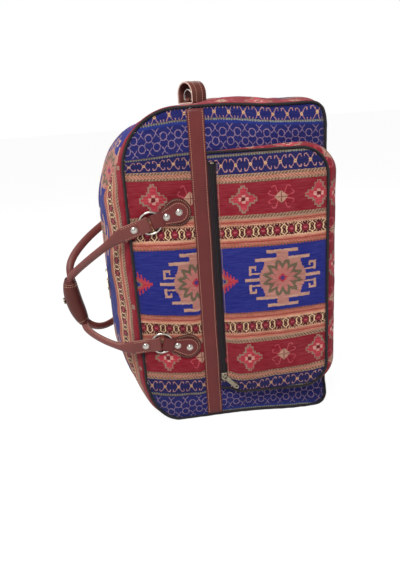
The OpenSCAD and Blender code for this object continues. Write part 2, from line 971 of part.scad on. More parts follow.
module back_tab_rivets() {
    color(nickel)
        back_side()
            tab_rivets();
}

// Frame of a handle end: X from the ring centre along the handle, Y inward
module handle_end_frame(side) {
    tilt = side > 0 ? upper_end_tilt : lower_end_tilt;
    translate([ring_x, y_front - ring_out, ring_z(side)])
        rotate([0, side * -tilt, 0])
            mirror([1, 0, 0])
                children();
}

module handle_rivets() {
    for (side = [-1, 1])
        handle_end_frame(side)
            translate([handle_rivet, -leaf_t, 0])
                rivet(2 * leaf_t);
}

module front_handle_rivets() {
    color(nickel)
        handle_rivets();
}

module back_handle_rivets() {
    color(nickel)
        back_side()
            handle_rivets();
}

module handle_end(side) {
    handle_end_frame(side)
        difference() {
            strap_solid(handle_end_l, strap_w);
            translate([handle_rivet, 2 * eye_out, 0])
                rotate([90, 0, 0])
                    cylinder(r = shank_r + shank_gap, h = 4 * eye_out);
        }
}

module handle_piece(face) {
    path = handle_path(face);
    flat_w = strap_w / 2 - 0.5;
    flat_t = leaf_t - 0.1;
    rings = [for (i = [0 : handle_n - 1])
        strap_ring(path[i], path_way(path, i), blend(flat_w, handle_d / 2, rolled(i)),
            blend(flat_t, handle_d / 2, rolled(i)), handle_sides)];
    polyhedron(points = [for (r = rings) each r], faces = tube_faces(handle_n, handle_sides));
    handle_end(1);
    handle_end(-1);
}

module front_handle() {
    color(leather_brown)
        handle_piece(0);
}

module back_handle() {
    color(leather_brown)
        back_side()
            handle_piece(1);
}

// Barrel-shaped wrap that holds both handles together
function wrap_point(t) = [0, grip_y, 0] + grip_line(t);
function wrap_rows(extra) = [for (i = [0 : wrap_steps])
    let (t = i / wrap_steps, full = 1 - 0.14 * pow(2 * t - 1, 2))
    strap_ring(wrap_point(t), wrap_point(min(t + 0.05, 1)) - wrap_point(max(t - 0.05, 0)),
        wrap_x * full + extra, wrap_y + extra, wrap_sides)];

module grip_wrap() {
    outer = wrap_rows(wrap_t);
    inner = wrap_rows(0);
    color(leather_brown)
        polyhedron(
            points = concat([for (r = outer) each r], [for (r = inner) each r]),
            faces = sleeve_faces(wrap_steps + 1, wrap_sides));
}

module wrap_snap() {
    way = wrap_point(snap_t + 0.05) - wrap_point(snap_t - 0.05);
    color(nickel)
        translate(wrap_point(snap_t))
            rotate([0, atan2(way[0], way[2]), 0])
                translate([wrap_x + wrap_t + seam_gap / 2, 0, 0])
                    rotate([0, 90, 0])
                        cylinder(r = snap_r, h = snap_h);
}

// Frame of the end loop: X through the loop, Z up from the upper end
module loop_frame() {
    translate([loop_x, 0, body_length])
        rotate([0, 0, loop_turn])
            children();
}

module loop_outline(inset) {
    crown = loop_h - loop_r;
    intersection() {
        translate([0, crown])
            circle(loop_r - inset);
        translate([-loop_r, crown])
            square([loop_span, loop_r]);
    }
    translate([-loop_r + inset, inset])
        square([loop_span - 2 * inset, crown - inset]);
}

module end_loop() {
    color(leather_brown)
        loop_frame()
            translate([-loop_w / 2, 0, seam_gap / 2])
                rotate([90, 0, 90])
                    linear_extrude(loop_w)
                        difference() {
                            loop_outline(0);
                            loop_outline(loop_t);
                        }
}

// Small strap over the bar of the end ring
module ring_keeper() {
    out_r = end_ring_wire / 2 + run_gap + keeper_t;
    foot = out_r + 4;
    base = loop_t + seam_gap;
    rise = end_ring_z - base;
    color(leather_brown)
        loop_frame()
            translate([end_ring_u, keeper_w / 2, base])
                rotate([90, 0, 0])
                    linear_extrude(keeper_w)
                        difference() {
                            union() {
                                translate([0, rise])
                                    circle(out_r);
                                translate([-out_r, 0])
                                    square([2 * out_r, rise]);
                                translate([-foot, 0])
                                    square([2 * foot, keeper_t]);
                            }
                            translate([0, rise])
                                circle(out_r - keeper_t);
                        }
}

module end_ring() {
    bar = end_ring_w - end_ring_wire;
    rise = end_ring_h - end_ring_wire - end_ring_r;
    color(nickel)
        loop_frame()
            translate([end_ring_u, 0, end_ring_z]) {
                rod([0, -bar / 2, 0], [0, bar / 2, 0], end_ring_wire);
                for (side = [-1, 1]) {
                    translate([0, side * end_ring_r, 0])
                        sphere(d = end_ring_wire);
                    rod([0, side * end_ring_r, 0], [0, side * end_ring_r, rise], end_ring_wire);
                }
                translate([0, 0, rise])
                    rotate([90, 0, 90])
                        rotate_extrude(angle = 180)
                            translate([end_ring_r, 0])
                                circle(d = end_ring_wire);
            }
}

front_panel();
back_panel();
base_gusset();
top_gusset_front();
top_gusset_back();
front_piping();
back_piping();
base_board();
front_band();
back_band();
pocket_front();
pocket_gusset();
pocket_piping();
pocket_zip_tape();
pocket_zip_coil();
pocket_zip_stops();
pocket_slider();
pocket_pull();
main_zip_tape();
main_zip_coil();
main_zip_stops();
upper_main_slider();
upper_main_pull();
lower_main_slider();
lower_main_pull();
front_upper_patch();
front_lower_patch();
back_upper_patch();
back_lower_patch();
front_upper_tab();
front_lower_tab();
back_upper_tab();
back_lower_tab();
front_upper_ring();
front_lower_ring();
back_upper_ring();
back_lower_ring();
front_tab_rivets();
back_tab_rivets();
front_handle_rivets();
back_handle_rivets();
front_handle();
back_handle();
grip_wrap();
wrap_snap();
end_loop();
ring_keeper();
end_ring();
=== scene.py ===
import contextlib
import functools
import math
import operator

import bmesh
import bpy
import numpy as np
from mathutils import Matrix, Vector, noise


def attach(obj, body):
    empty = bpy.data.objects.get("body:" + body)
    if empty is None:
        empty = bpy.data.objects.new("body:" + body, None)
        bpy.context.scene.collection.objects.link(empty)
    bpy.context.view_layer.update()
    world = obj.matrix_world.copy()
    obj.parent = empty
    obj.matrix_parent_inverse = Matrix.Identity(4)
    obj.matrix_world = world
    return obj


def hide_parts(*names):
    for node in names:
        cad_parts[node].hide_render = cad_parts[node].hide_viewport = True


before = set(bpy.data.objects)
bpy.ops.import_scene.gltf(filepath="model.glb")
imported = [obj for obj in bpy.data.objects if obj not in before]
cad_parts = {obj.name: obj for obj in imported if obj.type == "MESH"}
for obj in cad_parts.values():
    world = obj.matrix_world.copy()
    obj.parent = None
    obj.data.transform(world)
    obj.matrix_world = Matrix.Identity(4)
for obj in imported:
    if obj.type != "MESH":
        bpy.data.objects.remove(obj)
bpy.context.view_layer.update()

# Body, in metres: the bag stands on one end, its carrying side at -X and its front at -Y
HALF_HEIGHT, LENGTH = 0.162, 0.533
FRONT_Y, GUSSET_Y = -0.100, 0.0958
TOP_R, BASE_R = 0.092, 0.042
X_JOIN, X_BASE = -0.070, 0.120
BODY_ARCS = (
    (X_BASE, LENGTH - BASE_R, BASE_R, 0, 90),
    (X_JOIN, LENGTH - TOP_R, TOP_R, 90, 180),
    (X_JOIN, TOP_R, TOP_R, 180, 270),
    (X_BASE, BASE_R, BASE_R, 270, 360),
)
FACES = (("front", -1), ("back", 1))
UP = np.array((0.0, 0.0, 1.0))
PANEL_INSET, PANEL_WALL, GUSSET_WALL = 0.0055, 0.003, 0.0025
PIPING_INSET, PIPING_R, PIPING_Y = 0.0031, 0.0020, 0.0993
BAND_X, BAND_Y, BAND_HALF, BAND_END = -0.043, 0.1012, 0.013, 0.0062
MOTIF_X, MOTIF_Z = -0.0595, 0.259
STITCH_IN = 0.0026

# Domed carrying side: where the dome, the slot of the zip, its tape and its coil begin along the corner
DOME = 0.045
CORNER_RUN = TOP_R * math.pi / 2
DOME_FROM, DOME_FULL = TOP_R * math.radians(28), CORNER_RUN + 0.060
SLOT_FROM, SLOT_FULL = TOP_R * math.radians(40), TOP_R * math.radians(56)
TAPE_FROM, COIL_FROM = TOP_R * math.radians(43), TOP_R * math.radians(52)
SEAM_BACK, SEAM_SLANT, CORNER_MOTIF, EDGING = 0.130, 0.97, (0.155, 0.043), 0.0108

# Front pocket: the middle of its edge beside the band, the way along its leaning face and the way in
POCKET_AT = np.array((-0.0298, -0.1065, 0.260))
POCKET_WAY = np.array((0.97916, -0.20309, 0.0))
POCKET_IN = np.array((0.20309, 0.97916, 0.0))
POCKET_W, POCKET_HALF, POCKET_R, POCKET_SIDE_WALL = 0.18465, 0.205, 0.045, 0.002
POCKET_INSET, POCKET_MOTIF_U = 0.0055, 0.1095
ZIP_EDGE, ZIP_HALF = 0.0121, 0.188
COIL_PITCH, COIL_HALF, COIL_LONG = 0.0013, 0.00105, 0.00105

# Handle mounts: rings, tabs, folded straps and the grip of the handles
RING_X, RING_OUT = -0.125366, 0.0042
RING_Z = {1: 0.362, -1: 0.156}
TAB_TILT = math.radians(16)
END_TILT = {1: math.radians(18), -1: math.radians(-3)}
LEAF, FOLD_JOIN = 0.0016, 0.0214
STRAP_TOP = RING_OUT + LEAF
STRAP_HALF, TAB_TIP, PATCH_START, PATCH_TIP, END_TIP = 0.0116, 0.064, 0.0225, 0.068, 0.046
PATCH_LIFT, PATCH_THICK = 0.0013, 0.0012
TAB_RIVETS, END_RIVETS = (0.0271, 0.048), (0.0276,)
HANDLE_R = 0.0065
GRIP_TOP, TOP_LEAN = np.array((-0.273, -0.0075, 0.254)), np.array((-0.003, 0, -0.0269))
GRIP_LOW, LOW_LEAN = np.array((-0.259, -0.0075, 0.170)), np.array((-0.009, 0, 0.0269))
GRIP_LINE = (GRIP_TOP, GRIP_TOP + TOP_LEAN, GRIP_LOW + LOW_LEAN, GRIP_LOW)
UPPER_SWING = {-1: (0.0095, -0.011, 0.0135), 1: (-0.015, -0.0045, 0.040)}
LOWER_SWING = {-1: (-0.004, -0.011, -0.011), 1: (0.031, -0.0075, -0.041)}

# Loop on the upper end
LOOP_AT = np.array((-0.034, 0.0, LENGTH + 0.0001))
LOOP_TURN = math.radians(30)
LOOP_WAY = np.array((math.cos(LOOP_TURN), math.sin(LOOP_TURN), 0.0))
LOOP_SPAN = np.array((-math.sin(LOOP_TURN), math.cos(LOOP_TURN), 0.0))
LOOP_HALF, LOOP_TOP, LOOP_WIDE, LOOP_THICK = 0.019, 0.0335, 0.0145, 0.0013


# Dyes
def dye(r, g, b):
    """A colour given as it looks on screen, 0 to 255, in linear light."""
    def line(c):
        c /= 255
        return c / 12.92 if c <= 0.04045 else ((c + 0.055) / 1.055) ** 2.4
    return (line(r), line(g), line(b), 1.0)


ROYAL, NAVY, MIDNIGHT, AZURE = dye(38, 43, 123), dye(33, 35, 97), dye(32, 31, 82), dye(36, 48, 122)
VIOLET, MAUVE, PINK, PEBBLE = dye(78, 52, 110), dye(142, 116, 138), dye(176, 126, 122), dye(126, 132, 126)
CRIMSON, SCARLET, MAROON, POPPY = dye(137, 34, 46), dye(180, 58, 70), dye(80, 24, 34), dye(180, 60, 72)
CHERRY, CORAL, WINE, GERANIUM = dye(134, 35, 50), dye(180, 92, 96), dye(104, 26, 34), dye(182, 74, 84)
BRICK, RUSSET, OXBLOOD, COCOA = dye(156, 76, 64), dye(156, 95, 80), dye(72, 28, 30), dye(120, 72, 64)
PEACH, SAND, ROSE, DUSTY = dye(192, 112, 94), dye(208, 152, 124), dye(182, 112, 104), dye(178, 122, 110)
CLAY, BISCUIT, BLUSH, FAWN = dye(186, 130, 108), dye(190, 145, 125), dye(206, 150, 138), dye(186, 140, 120)
TAN, OLIVE, UMBER, MOSS = dye(170, 132, 109), dye(104, 86, 68), dye(106, 84, 68), dye(104, 92, 73)
CREAM, WHEAT, STRAW, HONEY = dye(230, 194, 152), dye(200, 150, 118), dye(186, 144, 106), dye(214, 172, 122)
HAZEL, STONE = dye(136, 104, 84), dye(146, 118, 102)
DARK_EDGE = dye(52, 26, 24)


# Node writing
class Gauge:
    """A number in a shader tree; sums and tests on it become Math nodes."""

    def __init__(self, tree, socket):
        self.tree, self.socket = tree, socket

    def op(self, kind, *others):
        node = self.tree.nodes.new("ShaderNodeMath")
        node.operation = kind
        for slot, value in zip(node.inputs, (self, *others)):
            feed(self.tree, value, slot)
        return Gauge(self.tree, node.outputs[0])

    def __add__(self, other):
        return self.op("ADD", other)

    def __sub__(self, other):
        return self.op("SUBTRACT", other)

    def __rsub__(self, other):
        return self * -1 + other

    def __mul__(self, other):
        return self.op("MULTIPLY", other)

    def __truediv__(self, other):
        return self.op("DIVIDE", other)

    def __abs__(self):
        return self.op("ABSOLUTE")

    def __or__(self, other):
        return self.op("MAXIMUM", other)

    def __and__(self, other):
        return self.op("MULTIPLY", other)

    def below(self, limit):
        return self.op("LESS_THAN", limit)

    def above(self, limit):
        return self.op("GREATER_THAN", limit)

    def within(self, low, high):
        return self.op("COMPARE", (low + high) / 2, (high - low) / 2)

    def on(self, *stripes):
        """1 on any of these stripes, each from its low edge to its high one."""
        return functools.reduce(operator.or_, [self.within(low, high) for low, high in stripes])

    def near(self, other, reach):
        return self.op("COMPARE", other, reach)

    def repeat(self, pitch):
        """Distance from the nearest mark of a row that repeats at this pitch."""
        return self.op("WRAP", pitch / 2, -pitch / 2)

    def stepped(self, step):
        return self.op("SNAP", step) + step / 2


def distance(a, b):
    return (a * a + b * b).op("SQRT")


def feed(tree, value, slot):
    """Links a gauge or a socket to a slot, or sets the slot to a plain value."""
    value = value.socket if isinstance(value, Gauge) else value
    if isinstance(value, bpy.types.NodeSocket):
        tree.links.new(value, slot)
    else:
        slot.default_value = value


def wire(tree, node, inputs):
    """Feeds the inputs of a node by their labels, with _ for a space."""
    for label, value in inputs.items():
        feed(tree, value, node.inputs[label.replace("_", " ")])
    return node


def add(tree, kind, **inputs):
    return wire(tree, tree.nodes.new(kind), inputs)


def group(name, inputs, outputs):
    tree = bpy.data.node_groups.new(name, "ShaderNodeTree")
    kinds = {"v": "NodeSocketVector", "c": "NodeSocketColor", "f": "NodeSocketFloat"}
    for label, kind, value in inputs:
        socket = tree.interface.new_socket(label, in_out="INPUT", socket_type=kinds[kind])
        if value is not None:
            socket.default_value = value
    for label, kind in outputs:
        tree.interface.new_socket(label, in_out="OUTPUT", socket_type=kinds[kind])
    return tree, tree.nodes.new("NodeGroupInput").outputs, tree.nodes.new("NodeGroupOutput")


def use(tree, shared, **links):
    node = tree.nodes.new("ShaderNodeGroup")
    node.node_tree = shared
    return wire(tree, node, links)


def lay(tree, under, colour, mask):
    """A colour laid over another where the mask is 1."""
    node = add(tree, "ShaderNodeMix", Factor=mask)
    node.data_type = "RGBA"
    feed(tree, under, node.inputs[6])
    feed(tree, colour, node.inputs[7])
    return node.outputs[2]


def noise_at(tree, place, scale, detail=3.0, rough=0.55):
    return add(tree, "ShaderNodeTexNoise", Scale=scale, Detail=detail, Roughness=rough, Vector=place)


def level(tree, cloud):
    return Gauge(tree, cloud.outputs["Fac"])


def sway(tree, cloud, much):
    """A noise as an even swing round zero."""
    return (level(tree, cloud) - 0.5) * much


def stretch(tree, place, scale):
    return add(tree, "ShaderNodeMapping", Scale=scale, Vector=place).outputs["Vector"]


def parts_of(tree, place):
    return [Gauge(tree, s) for s in add(tree, "ShaderNodeSeparateXYZ", Vector=place).outputs]


def span(tree, value, low, high, to_low, to_high):
    node = add(tree, "ShaderNodeMapRange", Value=value, From_Min=low, From_Max=high,
               To_Min=to_low, To_Max=to_high)
    return Gauge(tree, node.outputs["Result"])


# Kilim pattern, in millimetres: u runs along the stripes, v across them from the middle of the blue band
STRIPES = (
    (0, ROYAL), (54.5, OLIVE), (57.2, PEACH), (61.5, BRICK), (63.5, PEACH), (66.5, SAND), (69.5, MAROON),
    (89.5, SAND), (92, PEACH), (94.5, BRICK), (96.5, PEACH), (99.5, TAN), (107.5, CRIMSON), (160.8, TAN),
    (164.6, CLAY), (170, TAN), (174, MIDNIGHT), (201, OLIVE), (204, NAVY), (246, AZURE), (250, OLIVE),
    (253, NAVY), (283, CRIMSON),
)
STRIPE_REACH = 300
COARSE_STEP, FINE_STEP, STAIR = 1.3, 0.65, 3.9
MEDALLION_PITCH, EIGHT_PITCH, STAR_PITCH, HOOK_PITCH = 196, 21.8, 115, 22.4
EIGHT_V, STAR_V, HOOK_V, LATTICE_V = 79.5, 134.5, 225, 226.5
HAIR, CURL = 0.6, 0.85


class Weaving:
    """The colour of a cloth while its figures are woven in, one over the other."""

    def __init__(self, tree, ground):
        self.tree, self.colour = tree, ground

    def put(self, colour, where):
        self.colour = lay(self.tree, self.colour, colour, where)


def ground_stripes(tree, v):
    ramp = add(tree, "ShaderNodeValToRGB", Fac=v / STRIPE_REACH)
    ramp.color_ramp.interpolation = "CONSTANT"
    marks = ramp.color_ramp.elements
    while len(marks) < len(STRIPES):
        marks.new(0.5)
    for mark, (edge, colour) in zip(marks, STRIPES):
        mark.position, mark.color = edge / STRIPE_REACH, colour
    return ramp.outputs["Color"]


def braids(cloth, u_raw, v_raw, u):
    """Braided stripes, broken edges and thin dashed lines."""
    twill = (u_raw + v_raw * 1.1).repeat(5.4).above(0.4)
    cloth.put(RUSSET, twill & v_raw.on((164.6, 170), (92, 94.5), (57.2, 61.5)))
    hatch = (u_raw - v_raw * 0.8).repeat(5.0).above(-0.2)
    cloth.put(UMBER, hatch & v_raw.on((160.8, 164.6), (170, 174), (102.4, 107.5)))
    cloth.put(BRICK, u.repeat(5.2).above(0.4) & v_raw.within(54.5, 57.2))
    cloth.put(PEBBLE, u.repeat(3.9).above(0.0) & v_raw.on((201, 204), (250, 253)))


def medallions(cloth, u, v):
    """Blue band: stepped medallions with an eye between them."""
    a = abs(u.repeat(MEDALLION_PITCH))
    waist = ((24 - v.stepped(STAIR)) * 0.5).op("MAXIMUM", 0.0).op("MINIMUM", 9.0) + 28
    body = (a - waist).below(0) & v.below(31)
    arms = v.within(30, 34.5) & a.below(43)
    neck = a.below(9) & v.within(30, 45)
    bar = v.within(42.5, 47.5) & a.below(25)
    spear = v.below(2.6) & a.within(30, 60)
    hook = (v.within(8.5, 12) & a.within(30, 53)) | (a.within(49, 53) & v.within(8, 23))
    tip = (v.within(19.5, 23) & a.within(42, 51)) | (a.within(42, 44.6) & v.within(16, 21))
    cloth.put(BISCUIT, arms | bar | spear | hook | tip)
    cloth.put(DUSTY, body | neck)
    radius = (a * a + v * v * 0.86).op("SQRT")
    turn = v.op("ARCTAN2", a)
    zigzag = (turn * (12 / math.pi)).op("PINGPONG", 1.0) * 11 + 17.5
    cloth.put(ROSE, (radius - zigzag).below(2) & v.below(30))
    cloth.put(MOSS, radius.near(zigzag, 4.3) & v.below(30))
    core = a + v
    cloth.put(SCARLET, core.below(9))
    cloth.put(VIOLET, core.below(4.6))
    e = MEDALLION_PITCH / 2 - a
    leaf = (e * 0.51 + v).below(13.5)
    feathers = u.repeat(5.2).near(0.0, 0.7) & (e * 0.85 + v).below(24)
    cloth.put(SCARLET, leaf | feathers)
    iris = e * 0.75 + v
    cloth.put(HAZEL, iris.below(9))
    cloth.put(ROYAL, iris.below(5.8))


def figures_of_eight(cloth, u, u_fine, v_fine, band):
    """Dark band: cream figures of eight between spiked flowers."""
    m = abs((u_fine - 3.6).repeat(EIGHT_PITCH))
    q = abs(v_fine - EIGHT_V)
    f = EIGHT_PITCH / 2 - m
    cloth.put(WHEAT, f.near(q * 0.58, HAIR) & q.within(5.2, 9.4))
    cloth.put(CHERRY, (f * f * 1.1 + q * q * 0.9).below(24) & band)
    cloth.put(CORAL, f.below(2.4) & q.below(0.9))
    lozenge = m + abs(q - 4.4) * 0.70 + (q - 4.4) * 0.44
    cloth.put(OXBLOOD, lozenge.below(3.4) & band)
    cloth.put(CREAM, lozenge.within(3.4, 5.5) & band)
    cloth.put(STRAW, (m + abs(q - 3.4)).below(1.1))
    cloth.put(CREAM, u.repeat(3.9).above(0.2) & q.within(8.8, 10))


def diamonds_and_stars(cloth, coarse, fine, band):
    """Red band: stepped diamonds between stars with hooked arms."""
    d, r = abs((coarse[0] - STAR_PITCH / 2).repeat(STAR_PITCH)), abs(coarse[1] - STAR_V)
    for inset, thread in ((0, STONE), (1.9, POPPY)):
        along, across = ((d + inset) * 1.1).stepped(STAIR), (r + inset).stepped(STAIR)
        stair = (along + across) * 1.15 - abs(along - across) * 0.15
        cloth.put(thread, stair.below(25.4) & band)
    petals = (d.within(3.0, 7.6) & r.below(2.7)) | (r.within(3.0, 7.6) & d.below(2.7))
    cloth.put(BLUSH, petals & band)
    cloth.put(WINE, d.below(3.0) & r.below(3.0))
    s, r = abs(fine[0].repeat(STAR_PITCH)), abs(fine[1] - STAR_V)
    leg = s.near((r - 7) * 0.36 + 5, CURL) & r.within(6, 15)
    arm = r.near((s - 9) * 0.32 + 2, CURL) & s.within(8, 16)
    claw = distance(s - 11, r - 15).near(3.2, CURL) & r.above(14.8)
    curl = distance(s - 16, r - 7.2).near(3.0, CURL) & s.above(15.6)
    cloth.put(GERANIUM, (leg | arm | claw | curl) & band)
    star = s + r
    cloth.put(FAWN, star.below(11) & band)
    cloth.put(COCOA, (s.below(0.7) | r.below(0.7)) & star.below(10.4) & band)


def paired_hooks(cloth, u, v, rows):
    """Blue rows of paired hooks, on both sides of the lattice."""
    k, h = abs(u.repeat(HOOK_PITCH)), abs(abs(v - HOOK_V) - 37)
    bend = k.near(h * h * 0.052 + 1.6, 0.62) & h.below(9)
    ends = (h.within(8.2, 9.6) & k.within(5.2, 9.0)) | (k.within(8.1, 9.4) & h.within(5.2, 8.8))
    cloth.put(PINK, (bend | ends) & rows)
    cloth.put(HONEY, (k + h * 0.7).below(2.2) & rows)
    cloth.put(MAROON, (k + h * 0.8).below(0.9) & rows)


def ring_lattice(cloth, u, v, above_middle, band):
    """Rings in two rows, linked by slanting threads."""
    half, ring_v, slope = HOOK_PITCH / 2, 6.9, 0.81
    t = v - LATTICE_V
    fold = abs(t)
    upper = abs((u + half).repeat(HOOK_PITCH))
    near = abs((u + above_middle * half).repeat(HOOK_PITCH))
    apart = half - near
    w = abs(fold - ring_v)
    ring = (near * near * 1.3 + w * w).op("SQRT")
    links = upper.near((ring_v - t) * slope, HAIR) & fold.below(ring_v)
    links = links | (apart.near((12 - fold) * slope, HAIR) & fold.within(ring_v, 12))
    forks = apart.near((fold - 14) * 0.9, 0.65) & fold.within(14, 19)
    forks = forks | (apart.below(HAIR) & fold.within(11.6, 14.4))
    linked = (u + v).repeat(1.95).above(-0.7)
    net = ring.near(5.9, 0.65) | (links & ring.above(6.3)) | forks
    cloth.put(MAUVE, net & band & linked)


def kilim_motifs():
    """Flat-woven stripes with stepped medallions, diamonds, hooks and a lattice; the map is in metres."""
    tree, here, out = group("kilim_motifs", [("Place", "v", None)], [("Colour", "c")])
    x, y, _ = parts_of(tree, here["Place"])
    give_u, give_v, _ = parts_of(tree, noise_at(tree, here["Place"], 420, 1.0).outputs["Color"])
    u_raw = x * 1000 + (give_u - 0.5) * 2.6
    v_raw = abs(y * 1000 + (give_v - 0.5) * 2.2)
    u, v = u_raw.stepped(COARSE_STEP), v_raw.stepped(COARSE_STEP)
    u_fine, v_fine = u_raw.stepped(FINE_STEP), v_raw.stepped(FINE_STEP)
    cloth = Weaving(tree, ground_stripes(tree, v_raw))
    braids(cloth, u_raw, v_raw, u)
    medallions(cloth, u, v)
    figures_of_eight(cloth, u, u_fine, v_fine, v_raw.within(69.5, 89.5))
    diamonds_and_stars(cloth, (u, v), (u_fine, v_fine), v_raw.within(108, 161))
    paired_hooks(cloth, u_fine, v_fine, v_raw.on((175.5, 200.5), (253.5, 282)))
    ring_lattice(cloth, u_fine, v_fine, v_raw.above(LATTICE_V), v_raw.within(205, 249))
    wire(tree, out, {"Colour": cloth.colour})
    return tree


# Shared effects of thread, hide and plating
def woven_threads():
    """Uneven dye along each row of weft, and the ribs that the rows raise."""
    tree, here, out = group(
        "woven_threads",
        [("Colour", "c", (0.5, 0.5, 0.5, 1)), ("Place", "v", None), ("Pitch", "f", 1.4),
         ("Streak", "f", 0.3)],
        [("Colour", "c"), ("Height", "f"), ("Roughness", "f")],
    )
    x, y, _ = parts_of(tree, here["Place"])
    pitch = Gauge(tree, here["Pitch"])
    row, along = y * 1000 / pitch, x * 1000 / pitch
    number = row.op("FLOOR")
    mark = add(tree, "ShaderNodeCombineXYZ", X=along * 0.11, Y=number * 3.7)
    streak = noise_at(tree, mark.outputs[0], 1.0, 2.0)
    fade = noise_at(tree, here["Place"], 16.0, 3.0)
    slub = noise_at(tree, stretch(tree, here["Place"], (45, 400, 1)), 1.0, 2.0)
    pale = add(tree, "ShaderNodeRGBToBW", Color=here["Colour"])
    mixed = span(tree, pale.outputs[0], 0.02, 0.28, 0.7, 2.6)
    tone = sway(tree, streak, Gauge(tree, here["Streak"])) * mixed
    tone = tone + sway(tree, fade, 0.22) + sway(tree, slub, 0.5) + 1.0
    shade = add(tree, "ShaderNodeHueSaturation", Color=here["Colour"], Value=tone,
                Saturation=tone * -0.35 + 1.35)
    rib = abs((row * math.pi).op("SINE"))
    cross = abs((along * math.pi + number * (math.pi / 2)).op("SINE"))
    wire(tree, out, {"Colour": shade.outputs["Color"], "Height": rib * 0.6 + cross * 0.4,
                     "Roughness": tone * -0.2 + 1.08})
    return tree


def tanned_hide():
    """Grain, pores, uneven tan and rubbed places of smooth strap leather."""
    tree, here, out = group(
        "tanned_hide",
        [("Colour", "c", (0.2, 0.05, 0.04, 1)), ("Place", "v", None), ("Edge", "f", 0.0),
         ("Edge colour", "c", (0.05, 0.02, 0.02, 1)), ("Wear", "f", 0.5)],
        [("Colour", "c"), ("Height", "f"), ("Roughness", "f")],
    )
    place = here["Place"]
    cells = tree.nodes.new("ShaderNodeTexVoronoi")
    cells.feature = "SMOOTH_F1"
    wire(tree, cells, {"Scale": 850, "Smoothness": 0.6, "Vector": place})
    pores = noise_at(tree, place, 420, 2.0)
    tan = noise_at(tree, place, 26, 4.0, 0.6)
    rub = noise_at(tree, stretch(tree, place, (60, 60, 24)), 1.0, 5.0, 0.65)
    tone = sway(tree, tan, 0.5) + sway(tree, pores, 0.16) + 1.0
    shade = add(tree, "ShaderNodeHueSaturation", Color=here["Colour"], Value=tone).outputs["Color"]
    wear = span(tree, level(tree, rub), 0.56, 0.74, 0.0, 0.35) * Gauge(tree, here["Wear"])
    paler = add(tree, "ShaderNodeHueSaturation", Value=1.45, Saturation=0.85, Color=shade)
    colour = lay(tree, shade, paler.outputs["Color"], wear)
    # The edge colour goes on the cut edges: dark edge dye on most straps, and on the handles and the loop a
    # pale raw edge with a painted highlight.
    side = span(tree, here["Edge"], 0.45, 0.95, 0.0, 1.0)
    wire(tree, out, {
        "Colour": lay(tree, colour, here["Edge colour"], side),
        "Height": Gauge(tree, cells.outputs["Distance"]) * 0.7 + level(tree, pores) * 0.5,
        "Roughness": sway(tree, tan, 0.3) + wear * -0.2 + side * 0.2 + 0.46,
    })
    return tree


def rubbed_metal():
    """Fine scratches and tarnish on plated fittings."""
    tree, here, out = group(
        "rubbed_metal",
        [("Colour", "c", (0.7, 0.7, 0.7, 1)), ("Tarnish", "c", (0.2, 0.18, 0.15, 1)),
         ("Place", "v", None), ("Age", "f", 0.4)],
        [("Colour", "c"), ("Roughness", "f"), ("Height", "f")],
    )
    spots = noise_at(tree, here["Place"], 160, 4.0, 0.65)
    lines = noise_at(tree, stretch(tree, here["Place"], (2600, 500, 900)), 1.0, 2.0)
    old = span(tree, level(tree, spots), 0.45, 0.75, 0.0, 1.0) * Gauge(tree, here["Age"])
    wire(tree, out, {
        "Colour": lay(tree, here["Colour"], here["Tarnish"], old),
        "Roughness": old * 0.3 + level(tree, lines) * 0.16 + 0.14,
        "Height": level(tree, lines),
    })
    return tree


KILIM, THREADS, HIDE, PLATE = kilim_motifs(), woven_threads(), tanned_hide(), rubbed_metal()


# Finishes
def finish_of(name):
    finish = bpy.data.materials.new(name)
    finish.use_nodes = True
    tree = finish.node_tree
    tree.nodes.clear()
    shader = tree.nodes.new("ShaderNodeBsdfPrincipled")
    add(tree, "ShaderNodeOutputMaterial", Surface=shader.outputs["BSDF"])
    return finish, tree, shader


def object_place(tree):
    return tree.nodes.new("ShaderNodeTexCoord").outputs["Object"]


def coat(tree, shader, colour, roughness, height, depth):
    bump = add(tree, "ShaderNodeBump", Distance=depth, Height=height)
    wire(tree, shader, {"Base Color": colour, "Roughness": roughness, "Normal": bump.outputs["Normal"]})


def coat_with(tree, shader, effect, depth):
    """Takes the colour, the roughness and the height from a shared effect."""
    coat(tree, shader, *(effect.outputs[label] for label in ("Colour", "Roughness", "Height")), depth)


def cloth_finish(name, colour=None, pitch=1.4, streak=0.3, depth=0.00035, sheen=0.12):
    """Woven cloth: of one dye, or with the kilim pattern where no dye is given."""
    finish, tree, shader = finish_of(name)
    pattern = tree.nodes.new("ShaderNodeUVMap")
    pattern.uv_map = "pattern"
    place = pattern.outputs["UV"]
    if colour is None:
        colour = use(tree, KILIM, Place=place).outputs["Colour"]
    coat_with(tree, shader, use(tree, THREADS, Colour=colour, Place=place, Pitch=pitch, Streak=streak), depth)
    shader.inputs["Sheen Weight"].default_value = sheen
    shader.inputs["Sheen Roughness"].default_value = 0.4
    shader.inputs["Specular IOR Level"].default_value = 0.2
    return finish


def leather_finish(name, colour, edge, wear=0.5, shine=0.26):
    finish, tree, shader = finish_of(name)
    rim = tree.nodes.new("ShaderNodeAttribute")
    rim.attribute_name = "cut_edge"
    hide = use(tree, HIDE, Colour=colour, Place=object_place(tree), Edge=rim.outputs["Fac"],
               Edge_colour=edge, Wear=wear)
    coat_with(tree, shader, hide, 0.00018)
    shader.inputs["Specular IOR Level"].default_value = shine
    return finish


def metal_finish(name, colour, tarnish, age):
    finish, tree, shader = finish_of(name)
    plate = use(tree, PLATE, Colour=colour, Tarnish=tarnish, Place=object_place(tree), Age=age)
    coat_with(tree, shader, plate, 0.00003)
    shader.inputs["Metallic"].default_value = 1.0
    return finish


